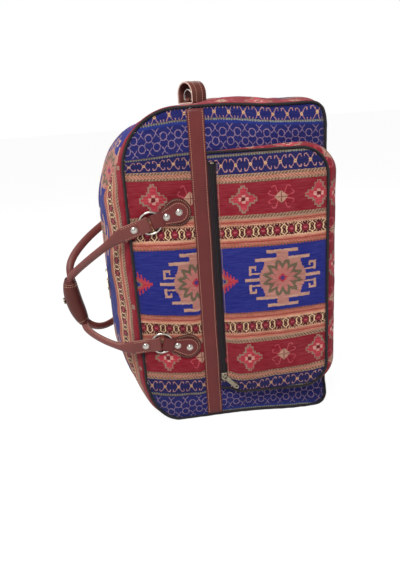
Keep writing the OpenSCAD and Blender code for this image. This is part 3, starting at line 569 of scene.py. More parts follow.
def thread_finish(name, colour, scale=2400):
    """Twisted thread, moulded coil or pressed board: one dye, mottled and slightly ribbed."""
    finish, tree, shader = finish_of(name)
    place = object_place(tree)
    fibres, mottle = noise_at(tree, place, scale, 2.0), noise_at(tree, place, 90, 3.0)
    tone = sway(tree, fibres, 0.5) + sway(tree, mottle, 0.4) + 1.0
    shade = add(tree, "ShaderNodeHueSaturation", Color=colour, Value=tone)
    coat(tree, shader, shade.outputs["Color"], tone * 0.3 + 0.4, level(tree, fibres), 0.0001)
    return finish


KILIM_CLOTH = cloth_finish("kilim_cloth")
PIPING_CORD = cloth_finish("piping_cord", dye(46, 42, 44), pitch=1.1, streak=0.35, depth=0.00025)
ZIP_TAPE = cloth_finish("zip_tape", dye(42, 31, 34), pitch=0.9, depth=0.0002, sheen=0.1)
BROWN_LEATHER = leather_finish("brown_leather", dye(103, 44, 43), dye(72, 35, 32))
# The handle's pale edge colour, laid along its sewn edges, is the raw cut edge with a painted highlight on
# it.
HANDLE_LEATHER = leather_finish("handle_leather", dye(115, 57, 52), dye(156, 106, 96), wear=0.9, shine=0.38)
PATCH_LEATHER = leather_finish("patch_leather", dye(82, 38, 35), DARK_EDGE, wear=0.3)
WRAP_LEATHER = leather_finish("wrap_leather", dye(88, 42, 37), DARK_EDGE, wear=0.3)
# The loop's pale edge colour is its raw cut edge together with a painted highlight.
LOOP_LEATHER = leather_finish("loop_leather", dye(100, 50, 42), dye(214, 176, 160), wear=0.4)
NICKEL = metal_finish("nickel", dye(200, 194, 186), dye(120, 112, 100), age=0.35)
OLD_BRASS = metal_finish("zip_metal", dye(150, 140, 122), dye(70, 62, 50), age=0.7)
TAN_THREAD = thread_finish("tan_thread", dye(214, 168, 136))
ZIP_COIL = thread_finish("zip_coil", dye(34, 32, 35), scale=1500)
BOARD = thread_finish("stiffener_board", dye(150, 128, 100), scale=300)


# Mesh building
def ease(t):
    t = np.clip(t, 0.0, 1.0)
    return t * t * (3 - 2 * t)


def unit(v):
    return v / np.linalg.norm(v, axis=-1, keepdims=True)


def lengths(path):
    """Length gone along a path, point by point."""
    return np.concatenate([[0], np.cumsum(np.linalg.norm(np.diff(path, axis=0), axis=1))])


def paired(a, b):
    """Two grids brought to one shape, as the two sides of a map."""
    return np.stack(np.broadcast_arrays(a, b), -1)


def ring_turns(sides):
    return np.linspace(0, 2 * math.pi, sides, endpoint=False)


@contextlib.contextmanager
def reshaped(mesh):
    shape = bmesh.new()
    shape.from_mesh(mesh)
    yield shape
    shape.to_mesh(mesh)
    shape.free()


def quads(points, uv, around=False, caps=False, values=None, let_in=()):
    """A mesh over rows x columns of points. Closed pieces wrap round the columns, and uv has one column more.
    let_in holds pairs of another map and a mask of the points that are cut by it."""
    rows, cols = points.shape[:2]
    wide = cols if around else cols - 1
    i, j = np.meshgrid(np.arange(rows - 1), np.arange(wide), indexing="ij")
    ring = ((i, j), (i, j + 1), (i + 1, j + 1), (i + 1, j))
    faces = np.stack([a * cols + b % cols for a, b in ring], -1).reshape(-1, 4).tolist()
    corners = np.stack([uv[a, b] for a, b in ring], 2)
    for other, mask in let_in:
        inside = np.mean([mask[a, b] for a, b in ring], axis=0) > 0.5
        corners = np.where(inside[..., None, None], np.stack([other[a, b] for a, b in ring], 2), corners)
    corners = corners.reshape(-1, 2)
    if caps:
        faces.append(list(range(cols))[::-1])
        faces.append([(rows - 1) * cols + c for c in range(cols)])
        corners = np.concatenate([corners, uv[0, :cols][::-1], uv[-1, :cols]])
    mesh = bpy.data.meshes.new("cut")
    mesh.from_pydata(points.reshape(-1, 3).tolist(), [], faces)
    mesh.uv_layers.new(name="pattern").data.foreach_set("uv", corners.astype(np.float32).ravel())
    if values is not None:
        marks = mesh.attributes.new("cut_edge", "FLOAT", "POINT")
        marks.data.foreach_set("value", values.astype(np.float32).ravel())
    mesh.shade_smooth()
    return mesh


def face_outward(mesh, way=None):
    """Turns the faces outward: along a given way on an open sheet, or by the inside of a closed piece."""
    with reshaped(mesh) as shape:
        if way is None:
            bmesh.ops.recalc_face_normals(shape, faces=shape.faces)
        elif sum((f.normal * f.calc_area() for f in shape.faces), Vector()).dot(Vector(way)) < 0:
            bmesh.ops.reverse_faces(shape, faces=shape.faces)
    return mesh


def welded(mesh):
    with reshaped(mesh) as shape:
        bmesh.ops.remove_doubles(shape, verts=shape.verts, dist=1e-7)
    return mesh


def joined(meshes):
    whole = bpy.data.meshes.new("sewn")
    with reshaped(whole) as shape:
        for mesh in meshes:
            shape.from_mesh(mesh)
    for mesh in meshes:
        bpy.data.meshes.remove(mesh)
    whole.shade_smooth()
    return whole


def placed(name, data):
    made = bpy.data.objects.new(name, data)
    bpy.context.scene.collection.objects.link(made)
    return made


def piece(name, mesh, finish, body="bag", stands_for=()):
    mesh.name = name
    made = placed(name, mesh)
    if finish is not None:
        mesh.materials.clear()
        mesh.materials.append(finish)
    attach(made, body)
    if stands_for:
        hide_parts(*stands_for)
    return made


def thicken(made, thickness):
    made.modifiers.new("wall", "SOLIDIFY").thickness = thickness


def padded_cloth(name, mesh, wall, sewn=None, pressure=0.0, cap=0.0):
    """A filled wall of kilim cloth; where sewn is given, the cloth swells between the sewn places."""
    made = piece(f"{name}_cloth", mesh, KILIM_CLOTH, stands_for=[name])
    if sewn is not None:
        swell(made, sewn, pressure, cap)
    thicken(made, wall)


def outline(arcs, inset=0.0, step=0.005, closed=True):
    """Points and outward ways along a line of arcs joined by straight runs, in X and Z."""
    spots, ways = [], []
    for cx, cz, r, start, end in arcs:
        for t in np.radians(np.linspace(start, end, max(2, int(abs(end - start) / 4)))):
            ways.append((math.cos(t), math.sin(t)))
            spots.append((cx + (r - inset) * math.cos(t), cz + (r - inset) * math.sin(t)))
    if closed:
        spots.append(spots[0])
        ways.append(ways[0])
    fine, facing = [np.array(spots[0])], [np.array(ways[0])]
    for a, b, p, q in zip(spots, spots[1:], ways, ways[1:]):
        a, b, p, q = map(np.array, (a, b, p, q))
        n = max(1, math.ceil(np.linalg.norm(b - a) / step))
        for k in range(1, n + 1):
            fine.append(a + (b - a) * k / n)
            facing.append(p + (q - p) * k / n)
    return np.array(fine), unit(np.array(facing))


def three_sides(lead, low, high, arcs, inset=0.0, step=0.005):
    """Points and outward ways along a lower edge, round two corners and back along the upper edge."""
    spots, ways = outline(arcs, inset, step, closed=False)
    one = np.ones_like(lead)
    spots = np.concatenate([np.stack([lead, low * one], 1), spots, np.stack([lead[::-1], high * one], 1)])
    ways = np.concatenate([np.stack([0 * one, -one], 1), ways, np.stack([0 * one, one], 1)])
    return spots, ways


def settle(points):
    """The bag as it has slumped: its foot, the sunk front edge on top, and its four corners."""
    moved = points.copy()
    x, y, z = (points[..., k] for k in range(3))
    foot_out, edge_sunk, corner_sunk, upper_out, lower_out = 0.011, 0.0058, 0.022, 0.006, 0.010
    foot = np.exp(-((x - 0.115) / 0.07) ** 2 - (z / 0.045) ** 2)
    moved[..., 1] -= foot_out * foot * np.clip(-y / GUSSET_Y, 0, 1) ** 2
    sunk = ease((z - 0.40) / 0.13) * ease((x + 0.01) / 0.10) * ease((-0.056 - y) / 0.038)
    moved[..., 2] -= edge_sunk * sunk
    behind, before = ease((y + 0.085) / 0.085), ease((0.06 - y) / 0.14)
    bulges = (
        (48, 24, upper_out),
        (110, 17 + 15 * ease(y / 0.09), -corner_sunk * behind),
        (236, 28, lower_out * before),
        (315, 26, lower_out),
    )
    for (cx, cz, r, _, _), (facing, width, push) in zip(BODY_ARCS, bulges):
        dx, dz = x - cx, z - cz
        far = np.maximum(np.hypot(dx, dz), 1e-6)
        turn = np.degrees(np.arctan2(dz, dx)) % 360
        pull = push * np.exp(-((turn - facing) / width) ** 2) * ease((far / r - 0.35) / 0.6)
        moved[..., 0] += pull * dx / far
        moved[..., 2] += pull * dz / far
    moved[..., 2] = np.maximum(moved[..., 2], 0.0003)
    return moved


def unevenness(points, size, depth, seed):
    """Slow unevenness of handled cloth, the same on every run."""
    flat = points.reshape(-1, 3)
    drift = Vector((seed * 7.3, seed * 3.1, seed * 5.7))
    lift = [noise.fractal(Vector(p) / size + drift, 1.0, 2.0, 3) for p in flat]
    return np.array(lift).reshape(points.shape[:-1]) * depth


def swell(made, sewn, pressure, cap):
    """Cloth simulation: the lining pushes the piece out between the places where it is sewn down."""
    frames = 18
    mesh = made.data
    start = np.array([v.co for v in mesh.vertices])
    held = made.vertex_groups.new(name="sewn")
    for i, share in enumerate(sewn.ravel()):
        if share > 0:
            held.add([i], float(share), "REPLACE")
    cloth = made.modifiers.new("settle", "CLOTH")
    rules = cloth.settings
    rules.vertex_group_mass = held.name
    rules.quality = 6
    rules.mass = 0.25
    rules.tension_stiffness = rules.compression_stiffness = 18
    rules.bending_stiffness = 0.8
    rules.use_pressure = True
    rules.uniform_pressure_force = pressure
    rules.effector_weights.gravity = 0.0
    rules.shrink_min = -0.003
    cloth.collision_settings.use_collision = False
    cloth.point_cache.frame_start, cloth.point_cache.frame_end = 1, frames
    for step in range(1, frames + 1):
        bpy.context.scene.frame_set(step)
    settled = made.evaluated_get(bpy.context.evaluated_depsgraph_get())
    shift = np.array([v.co for v in settled.data.vertices]) - start
    far = np.linalg.norm(shift, axis=1, keepdims=True)
    shift *= np.minimum(1.0, cap / np.maximum(far, 1e-9))
    made.modifiers.remove(cloth)
    made.vertex_groups.remove(held)
    mesh.vertices.foreach_set("co", (start + shift).astype(np.float32).ravel())
    mesh.update()
    bpy.context.scene.frame_set(1)


def tube(path, radius, sides=12, closed=False, wobble=0.0):
    """A round cord along a path of points, with its map along and round it."""
    if closed:
        way = unit(np.roll(path, -1, 0) - np.roll(path, 1, 0))
    else:
        way = unit(np.gradient(path, axis=0))
    side = unit(np.cross(way, (0.0, 1.0, 0.0)))
    up = np.cross(side, way)
    turn = ring_turns(sides)
    around = side[:, None] * np.cos(turn)[None, :, None] + up[:, None] * np.sin(turn)[None, :, None]
    points = path[:, None] + around * radius
    if wobble:
        points += around * unevenness(points, size=0.012, depth=wobble, seed=4)[..., None]
    run = lengths(path)
    if closed:
        points = np.concatenate([points, points[:1]])
        run = np.append(run, run[-1] + np.linalg.norm(path[0] - path[-1]))
    uv = paired(np.linspace(0, 2 * math.pi * radius, sides + 1)[None], run[:, None])
    mesh = quads(points, uv, around=True, caps=not closed)
    return face_outward(welded(mesh) if closed else mesh)


def strap(spots, across, outward, half_width, half_thick, crown=0.0, dip=0.0):
    """A strip of leather along spots, with pressed stitch lines near its rounded cut edges."""
    half = np.broadcast_to(np.asarray(half_width, float), (len(spots),))
    across, outward = np.broadcast_to(across, spots.shape), np.broadcast_to(outward, spots.shape)
    t = half_thick
    rows, marks = [], []
    for c, a, o, w in zip(spots, across, outward, half):
        b = min(0.0004, t * 0.6, w * 0.45)
        line, seam = max(w - STITCH_IN, w * 0.5), min(0.0005, w * 0.1)
        face = [(line + seam, t + crown * 0.3, 0), (line, t + crown * 0.4 - dip, 0),
                (line - seam, t + crown * 0.5, 0), (line * 0.4, t + crown, 0)]
        section = [
            (-w + b, -t, 0.6), (0, -t, 0), (w - b, -t, 0.6), (w, -t + b, 1), (w, t - b, 1), (w - b, t, 0.6),
            *face, *((-p, q, e) for p, q, e in face[::-1]),
            (-w + b, t, 0.6), (-w, t - b, 1), (-w, -t + b, 1),
        ]
        rows.append([c + a * p + o * q for p, q, _ in section])
        marks.append([e for _, _, e in section])
    points = np.array(rows)
    uv = paired(np.linspace(0, 0.06, points.shape[1] + 1)[None], lengths(spots)[:, None])
    return face_outward(quads(points, uv, around=True, caps=True, values=np.array(marks)))


def bezier(a, b, c, d, steps):
    t = np.linspace(0, 1, steps)[:, None]
    return (1 - t) ** 3 * a + 3 * t * (1 - t) ** 2 * b + 3 * t * t * (1 - t) * c + t ** 3 * d


STITCH_LINES = []


def sew(points):
    """Keeps a line of stitches."""
    STITCH_LINES.append(np.asarray(points, float))


# Padded front and back panels
def side_limit(z, inset, centre_x, r, way):
    depth = np.maximum(np.maximum(r - z, z - (LENGTH - r)), 0.0)
    return centre_x + way * np.sqrt(np.maximum((r - inset) ** 2 - depth ** 2, 0.0))


def panel_rows(inset):
    turn = np.radians(np.linspace(0, 90, 11))
    foot = BASE_R - (BASE_R - inset) * np.cos(turn)
    middle = np.linspace(BASE_R, LENGTH - BASE_R, 88)[1:-1]
    return np.concatenate([foot, middle, LENGTH - foot[::-1]])


def edge_distance(x, z):
    """How far a point of a panel lies inside the outline of the bag."""
    inside = np.minimum(HALF_HEIGHT - np.abs(x), np.minimum(z, LENGTH - z))
    for cx, cz, r, _, _ in BODY_ARCS:
        dx = (x - cx) * (1 if cx > 0 else -1)
        dz = (z - cz) * (1 if cz > LENGTH / 2 else -1)
        inside = np.where((dx > 0) & (dz > 0), np.minimum(inside, r - np.hypot(dx, dz)), inside)
    return inside


def tab_hold(x, z):
    """1 where a tab, its patch or a handle end lies on the panel."""
    held = np.zeros_like(x)
    for side in (1, -1):
        along = (math.cos(TAB_TILT), side * math.sin(TAB_TILT))
        u = (x - RING_X) * along[0] + (z - RING_Z[side]) * along[1]
        v = -(x - RING_X) * along[1] + (z - RING_Z[side]) * along[0]
        off = np.maximum(np.abs(u - 0.012) - 0.058, 0)
        gap = np.hypot(off, np.maximum(np.abs(v) - 0.02, 0))
        held = np.maximum(held, 1 - ease((gap - 0.002) / 0.012))
    return held


def pulled_weave(x, z):
    """How far the handles have dragged the weave up the panel, on their side of the band."""
    top = ease((z - 0.436) / 0.03)
    tilt = (0.13 - 0.08 * ease((z - 0.20) / 0.10)) * (1 - top)
    lift = (0.0018 * ease((z - 0.26) / 0.05) + 0.0036 * ease((z - 0.38) / 0.05)) * (1 - top)
    lift = lift - 0.09 * top * np.maximum(-0.075 - x, 0.0)
    return ease((-0.050 - x) / 0.01) * (lift - tilt * (x + 0.105))


def panel(name, side):
    z = panel_rows(PANEL_INSET)
    left = side_limit(z, PANEL_INSET, X_JOIN, TOP_R, -1)
    right = side_limit(z, PANEL_INSET, X_BASE, BASE_R, 1)
    x = left[:, None] + (right - left)[:, None] * np.linspace(0, 1, 58)
    zz = np.broadcast_to(z[:, None], x.shape)
    inside = edge_distance(x, zz) - PANEL_INSET
    under_band = 1 - ease((np.abs(x - BAND_X) - 0.014) / 0.010)
    hold = np.maximum(tab_hold(x, zz), under_band)
    rise = 0.0017 * ease(inside / 0.010) - 0.0012
    rise = rise + 0.0030 * ease(inside / 0.05) * (1 - hold)
    points = np.stack([x, np.full_like(x, FRONT_Y), zz], -1)
    uneven = unevenness(points, size=0.055, depth=0.0022, seed=2 + side)
    rise = rise + uneven * ease(inside / 0.03) * (1 - hold)
    points[..., 1] = side * (rise - FRONT_Y)
    slip = ease((zz - 0.43) / 0.05) * 0.055 * np.maximum(x + 0.025, 0.0)
    uv = paired(-side * (x - MOTIF_X), zz - MOTIF_Z + slip - pulled_weave(x, zz))
    mesh = face_outward(quads(settle(points), uv), (0, side, 0))
    sewn = np.where(inside < 0.004, 1.0, hold)
    padded_cloth(name, mesh, PANEL_WALL, sewn=sewn, pressure=1.2, cap=0.004)


for face_name, face in FACES:
    panel(f"{face_name}_panel", face)


# Gusset round the sides, in three cuts
def dome_share(run):
    return ease((run - DOME_FROM) / (DOME_FULL - DOME_FROM))


def carrying_line(first=0.0):
    """The carrying side from its lower end to its upper one: foot, outward way, and length from the nearer
    end."""
    corner = np.linspace(0, CORNER_RUN, 33)
    straight = np.linspace(CORNER_RUN, CORNER_RUN + LENGTH / 2 - TOP_R, 42)[1:]
    run = np.concatenate([corner, straight])
    run = np.concatenate([[first], run[run > first + 0.0005]])
    turn, past = np.minimum(run / TOP_R, math.pi / 2), np.maximum(run - CORNER_RUN, 0.0)
    foot = np.stack([np.full_like(run, X_JOIN), 0 * run, TOP_R + past], 1)
    way = np.stack([-np.sin(turn), 0 * run, -np.cos(turn)], 1)
    flip = np.array((1.0, 1.0, -1.0))
    foot = np.concatenate([foot, foot[-2::-1] * flip + (0, 0, LENGTH)])
    return foot, np.concatenate([way, way[-2::-1] * flip]), np.concatenate([run, run[-2::-1]])


def cross_run(points):
    """Length across a strip from its first column, row by row."""
    gaps = np.linalg.norm(np.diff(points, axis=1), axis=2)
    return np.concatenate([np.zeros((len(points), 1)), np.cumsum(gaps, axis=1)], axis=1)


def base_gusset():
    lead = np.linspace(X_JOIN + 0.0005, X_BASE - 0.001, 34)
    spots, ways = three_sides(lead, 0.0, LENGTH, (BODY_ARCS[3], BODY_ARCS[0]))
    y = np.linspace(-GUSSET_Y, GUSSET_Y, 45)
    arch = 1 - (y / GUSSET_Y) ** 4
    upper = ease((spots[:, 1] - LENGTH + 0.05) / 0.05) * ease((spots[:, 0] + 0.05) / 0.06)
    base = ease((spots[:, 0] - 0.13) / 0.03) * ease((spots[:, 1] - 0.02) / 0.08)
    beside_loop = np.exp(-((np.abs(y) - 0.060) / 0.024) ** 2) * 0.0065 + 0.0022
    sunk = 1 - 1.3 * ease((spots[:, 0] - 0.01) / 0.12)
    lift = ((upper * sunk)[:, None] * beside_loop[None] + 0.0035 * base[:, None]) * arch[None]
    points = np.stack(np.broadcast_arrays(spots[:, 0, None], y[None], spots[:, 1, None]), -1)
    free = ease(spots[:, 1] / 0.03)[:, None] * arch[None]
    lift = lift + unevenness(points, size=0.05, depth=0.0016, seed=9) * free - 0.0004
    points[..., 0] += ways[:, 0, None] * lift
    points[..., 2] += ways[:, 1, None] * lift
    uv = paired(lengths(spots)[:, None] + 0.03, 0.121 + GUSSET_Y - np.abs(y)[None])
    mesh = face_outward(quads(settle(points), uv), (1, 0, 0))
    padded_cloth("base_gusset", mesh, GUSSET_WALL)


def top_gusset(name, side):
    """The domed carrying side, from the piping to the zip, with a corner piece let in at its upper end."""
    foot, way, run = carrying_line()
    cols = 30
    opened = ease((run - SLOT_FROM) / (SLOT_FULL - SLOT_FROM))[:, None]
    slot = 0.0001 + 0.0064 * opened
    y = GUSSET_Y + (slot - GUSSET_Y) * np.linspace(0, 1, cols)
    out = TOP_R + DOME * dome_share(run)[:, None] * (1 - (y / GUSSET_Y) ** 2)
    out = out - 0.0016 * ease((slot + 0.005 - y) / 0.005) * opened
    points = foot[:, None] + way[:, None] * out[..., None]
    points[..., 1] = side * y
    from_piping = cross_run(points)
    along = lengths(points[:, cols // 2])[:, None]
    free = ease(from_piping / 0.02) * ease((from_piping[:, -1:] - from_piping) / 0.02)
    lift = unevenness(points, size=0.06, depth=0.0030, seed=5 + side) * free
    past_seam = along - along[-1] + SEAM_BACK + SEAM_SLANT * from_piping
    lift = lift - 0.0022 * np.exp(-((past_seam + 0.002) / 0.003) ** 2) * ease((from_piping - EDGING) / 0.01)
    squeezed = np.exp(-((np.degrees(np.minimum(run / TOP_R, math.pi / 2)) - 50) / 22) ** 2)
    lower_half = np.arange(len(run)) < len(run) // 2
    lift = lift + 0.010 * (squeezed * lower_half)[:, None] * (1 - (y / GUSSET_Y) ** 4)
    points = settle(points + way[:, None] * lift[..., None])
    stripe = paired(along, 0.1222 - 1.17 * from_piping)
    corner = paired(along - along[-1] + CORNER_MOTIF[0], from_piping - CORNER_MOTIF[1])
    edging = paired(along, 0.1095 + from_piping * 0.35)
    mesh = quads(points, stripe, let_in=[(corner, past_seam > 0), (edging, from_piping < EDGING)])
    padded_cloth(name, face_outward(mesh, (-1, 0, 0)), GUSSET_WALL)
    sew(points[run > SLOT_FULL, -3] + way[run > SLOT_FULL] * 0.0003)


base_gusset()
for face_name, face in FACES:
    top_gusset(f"top_gusset_{face_name}", face)


# Corded piping and leather bands
def body_piping(name, side):
    spots = outline(BODY_ARCS, PIPING_INSET, 0.004)[0][:-1]
    path = settle(np.stack([spots[:, 0], np.full(len(spots), side * PIPING_Y), spots[:, 1]], 1))
    path[:, 2] = np.maximum(path[:, 2], PIPING_R + 0.0006)
    cord = tube(path, PIPING_R, closed=True, wobble=0.0004)
    piece(f"{name}_cord", cord, PIPING_CORD, stands_for=[name])


def band(name, side):
    z = np.linspace(BAND_END, LENGTH - BAND_END, 110)
    dip = 0.0016 * (1 - ease(np.minimum(z, LENGTH - z) / 0.016))
    ripple = np.array([noise.noise(Vector((0, side * 3.0, t * 14))) for t in z]) * 0.0005
    spots = np.stack([BAND_X + ripple * 2, side * (BAND_Y - dip + ripple), z], 1)
    across, outward = np.array((1.0, 0, 0)), np.array((0, float(side), 0))
    mesh = strap(spots, across, outward, BAND_HALF, half_thick=0.0010, crown=0.0003, dip=0.0003)
    piece(f"{name}_strap", mesh, BROWN_LEATHER, stands_for=[name])
    for x in (STITCH_IN - BAND_HALF, BAND_HALF - STITCH_IN):
        sew((spots + across * x + outward * 0.00105)[1:-1])


for face_name, face in FACES:
    body_piping(f"{face_name}_piping", face)
for face_name, face in FACES:
    band(f"{face_name}_band", face)


# Front pocket
def on_pocket(u, depth, z):
    """A point of the pocket: along its leaning face, inward from it, and up from its middle."""
    u, depth, z = np.broadcast_arrays(u, depth, z)
    slant = ease((-z - 0.05) / 0.15) * ((u / POCKET_W - 0.42) * 0.014 - 0.005) * ease((u - 0.008) / 0.03)
    spot = POCKET_AT + u[..., None] * POCKET_WAY + depth[..., None] * POCKET_IN
    return spot + (z + slant)[..., None] * UP


def pocket_line(inset, start, step=0.005):
    centre_u, centre_z = POCKET_W - POCKET_R, POCKET_HALF - POCKET_R
    arcs = ((centre_u, -centre_z, POCKET_R, 270, 360), (centre_u, centre_z, POCKET_R, 0, 90))
    reach = POCKET_HALF - inset
    return three_sides(np.linspace(start, centre_u - 0.001, 30), -reach, reach, arcs, inset, step)


def pocket_front():
    centre_z, curve = POCKET_HALF - POCKET_R, POCKET_R - POCKET_INSET
    foot = curve * np.cos(np.radians(np.linspace(0, 90, 11))) + POCKET_HALF - POCKET_R
    middle = np.linspace(-centre_z, centre_z, 62)[1:-1]
    zip_ends = np.array([-ZIP_HALF - 0.0003, -ZIP_HALF, ZIP_HALF, ZIP_HALF + 0.0003])
    z = np.unique(np.concatenate([-foot, middle, foot[::-1], zip_ends]))
    depth = np.maximum(np.abs(z) - centre_z, 0)
    right = POCKET_W - POCKET_R + np.sqrt(np.maximum(curve ** 2 - depth ** 2, 0))
    left = np.where(np.abs(z) <= ZIP_HALF, ZIP_EDGE, 0.0004)
    u = left[:, None] + (right - left)[:, None] * np.linspace(0, 1, 42)
    zz = np.broadcast_to(z[:, None], u.shape)
    inside = np.minimum(right[:, None] - u, POCKET_HALF - POCKET_INSET - np.abs(zz))
    beside = np.where(np.abs(zz) <= ZIP_HALF, u - left[:, None], 0.05)
    puff = 0.0016 * ease(inside / 0.010) - 0.0010
    puff = puff + 0.0045 * ease(inside / 0.06) * ease((u - 0.012) / 0.05)
    puff = puff - 0.0016 * (1 - ease(beside / 0.004))
    points = on_pocket(u, -puff, zz)
    rough = unevenness(points, size=0.06, depth=0.0030, seed=6)
    rough = rough * ease(inside / 0.03) * ease((u - 0.014) / 0.03)
    points -= rough[..., None] * POCKET_IN
    skew = (0.06 - 0.25 * np.clip(zz, -0.10, 0.16)) * (u - 0.08)
    uv = paired(u - POCKET_MOTIF_U, zz + 0.001 + 0.005 * ease((zz - 0.08) / 0.08) - skew)
    sewn = np.where((inside < 0.004) | (beside < 0.007) | (u < 0.015), 1.0, 0.0)
    mesh = face_outward(quads(points, uv), (0, -1, 0))
    padded_cloth("pocket_front", mesh, GUSSET_WALL, sewn=sewn, pressure=1.0, cap=0.005)
    sew(on_pocket(0.0142, -0.0010, np.linspace(-ZIP_HALF + 0.004, ZIP_HALF - 0.004, 90)))


def pocket_gusset():
    spots, ways = pocket_line(0.0014, 0.0005)
    share = np.linspace(0, 1, 12)
    near = on_pocket(spots[:, 0], 0.0022, spots[:, 1])
    far = near.copy()
    far[:, 1] = FRONT_Y - 0.0004
    points = near[:, None] + (far - near)[:, None] * share[None, :, None]
    depth = far[:, 1] - near[:, 1]
    swollen = 0.0032 + 0.0140 * np.clip(ways[:, 0], 0, 1) ** 2 + 0.0022 * np.clip(ways[:, 1], 0, 1) ** 2
    hump = np.sin(math.pi * share)[None]
    bow = hump ** 0.8 * (swollen * ease(depth / 0.04))[:, None]
    uneven = unevenness(points, size=0.03, depth=0.0010, seed=8)
    bow = bow + uneven * hump * ease(depth / 0.03)[:, None]
    points[..., 0] += ways[:, 0, None] * bow
    points[..., 2] += ways[:, 1, None] * bow
    uv = paired(lengths(spots)[:, None] + 0.02, 0.124 + depth[:, None] * share[None])
    mesh = face_outward(quads(points, uv), (1, 0, 0))
    padded_cloth("pocket_gusset", mesh, POCKET_SIDE_WALL)


def pocket_piping():
    spots, _ = pocket_line(0.0028, -0.0005, 0.004)
    cord = tube(on_pocket(spots[:, 0], 0.0012, spots[:, 1]), 0.0018, wobble=0.0003)
    piece("pocket_piping_cord", cord, PIPING_CORD, stands_for=["pocket_piping"])


pocket_front()
pocket_gusset()
pocket_piping()


# Zip tapes
def zip_tape(name, at, half, low, high):
    run, s = np.meshgrid(np.linspace(low, high, 150), np.linspace(-half, half, 13), indexing="ij")
    mesh = face_outward(quads(at(s, run), paired(run, s)), (-1, -1, 0))
    thicken(piece(f"{name}_weave", mesh, ZIP_TAPE, stands_for=[name]), 0.0009)


def pocket_tape_at(s, z):
    return on_pocket(0.0065 + s, 0.0029 + 9.0 * s * s, z)


def ridge_at(depth):
    """Places along the ridge of the dome, from the lower end of the zip, this deep under the cloth."""
    foot, way, run = carrying_line(TAPE_FROM)
    line = foot + way * (TOP_R + DOME * dome_share(run) - depth)[:, None]
    gone = lengths(line)

    def at(s, length):
        spot = np.stack([np.interp(length, gone, line[:, k]) for k in range(3)], -1)
        spot[..., 1] += s
        return spot
    return at, gone[-1]


main_tape_at, RIDGE = ridge_at(0.0038)
main_coil_at, COIL_RIDGE = ridge_at(0.0031)
TAPE_END = ZIP_HALF + 0.0035
zip_tape("pocket_zip_tape", pocket_tape_at, half=0.0078, low=-TAPE_END, high=TAPE_END)
zip_tape("main_zip_tape", main_tape_at, half=0.0098, low=0.0, high=RIDGE)


# Repeats: stitches, zip coils and rivets
def repeat_tree(name, gives, **wants):
    """An empty Geometry Nodes tree, the keys of its inputs, those inputs, and its end node."""
    tree = bpy.data.node_groups.new(name, "GeometryNodeTree")
    keys = {}
    for label, kind in wants.items():
        socket = tree.interface.new_socket(label, in_out="INPUT", socket_type=f"NodeSocket{kind}")
        keys[label] = socket.identifier
    tree.interface.new_socket(gives, in_out="OUTPUT", socket_type="NodeSocketGeometry")
    return tree, keys, tree.nodes.new("NodeGroupInput").outputs, tree.nodes.new("NodeGroupOutput")


def beads_on_lines():
    """Geometry Nodes: rounded beads, such as stitches or coil turns, laid along lines at a pitch."""
    tree, keys, here, out = repeat_tree("beads_on_lines", "Beads", Lines="Geometry", Pitch="Float",
                                        Length="Float", Width="Float", Height="Float", Finish="Material")
    lines = add(tree, "GeometryNodeMeshToCurve", Mesh=here["Lines"])
    marks = tree.nodes.new("GeometryNodeResampleCurve")
    marks.mode = "LENGTH"
    wire(tree, marks, {"Curve": lines.outputs["Curve"], "Length": here["Pitch"]})
    bead = add(tree, "GeometryNodeMeshUVSphere", Segments=6, Rings=4, Radius=0.5)
    size = add(tree, "ShaderNodeCombineXYZ", X=here["Length"], Y=here["Width"], Z=here["Height"])
    shape = add(tree, "GeometryNodeTransform", Geometry=bead.outputs["Mesh"], Scale=size.outputs["Vector"])
    tangent = tree.nodes.new("GeometryNodeInputTangent")
    turn = add(tree, "FunctionNodeAlignRotationToVector", Vector=tangent.outputs["Tangent"])
    turn.axis = "X"
    place = add(tree, "GeometryNodeInstanceOnPoints", Points=marks.outputs["Curve"],
                Instance=shape.outputs["Geometry"], Rotation=turn.outputs["Rotation"])
    real = add(tree, "GeometryNodeRealizeInstances", Geometry=place.outputs["Instances"])
    smooth = add(tree, "GeometryNodeSetShadeSmooth", Geometry=real.outputs["Geometry"])
    dyed = add(tree, "GeometryNodeSetMaterial", Geometry=smooth.outputs["Geometry"], Material=here["Finish"])
    wire(tree, out, {"Beads": dyed.outputs["Geometry"]})
    return tree, keys


def parts_on_points():
    """Geometry Nodes: one pattern part, such as a rivet, set on points with a turn."""
    tree, keys, here, out = repeat_tree("parts_on_points", "Parts", Points="Geometry", Pattern="Object",
                                        Turn="Rotation", Finish="Material")
    pattern = add(tree, "GeometryNodeObjectInfo", Object=here["Pattern"])
    place = add(tree, "GeometryNodeInstanceOnPoints", Points=here["Points"],
                Instance=pattern.outputs["Geometry"], Rotation=here["Turn"])
    real = add(tree, "GeometryNodeRealizeInstances", Geometry=place.outputs["Instances"])
    plated = add(tree, "GeometryNodeSetMaterial", Geometry=real.outputs["Geometry"], Material=here["Finish"])
    wire(tree, out, {"Parts": plated.outputs["Geometry"]})
    return tree, keys


BEADS, RIVETING = beads_on_lines(), parts_on_points()


def grown(mesh, made_by, **values):
    """The plain mesh that a Geometry Nodes tree makes from a mesh."""
    tree, keys = made_by
    seed = placed("seed", mesh)
    rule = seed.modifiers.new("repeat", "NODES")
    rule.node_group = tree
    for label, value in values.items():
        rule[keys[label]] = value
    bpy.context.view_layer.update()
    result = bpy.data.meshes.new_from_object(seed.evaluated_get(bpy.context.evaluated_depsgraph_get()))
    bpy.data.objects.remove(seed)
    return result


def line_mesh(lines):
    points, edges = [], []
    for line in lines:
        first = len(points)
        points.extend(line.tolist())
        edges.extend((k, k + 1) for k in range(first, first + len(line) - 1))
    mesh = bpy.data.meshes.new("lines")
    mesh.from_pydata(points, edges, [])
    return mesh


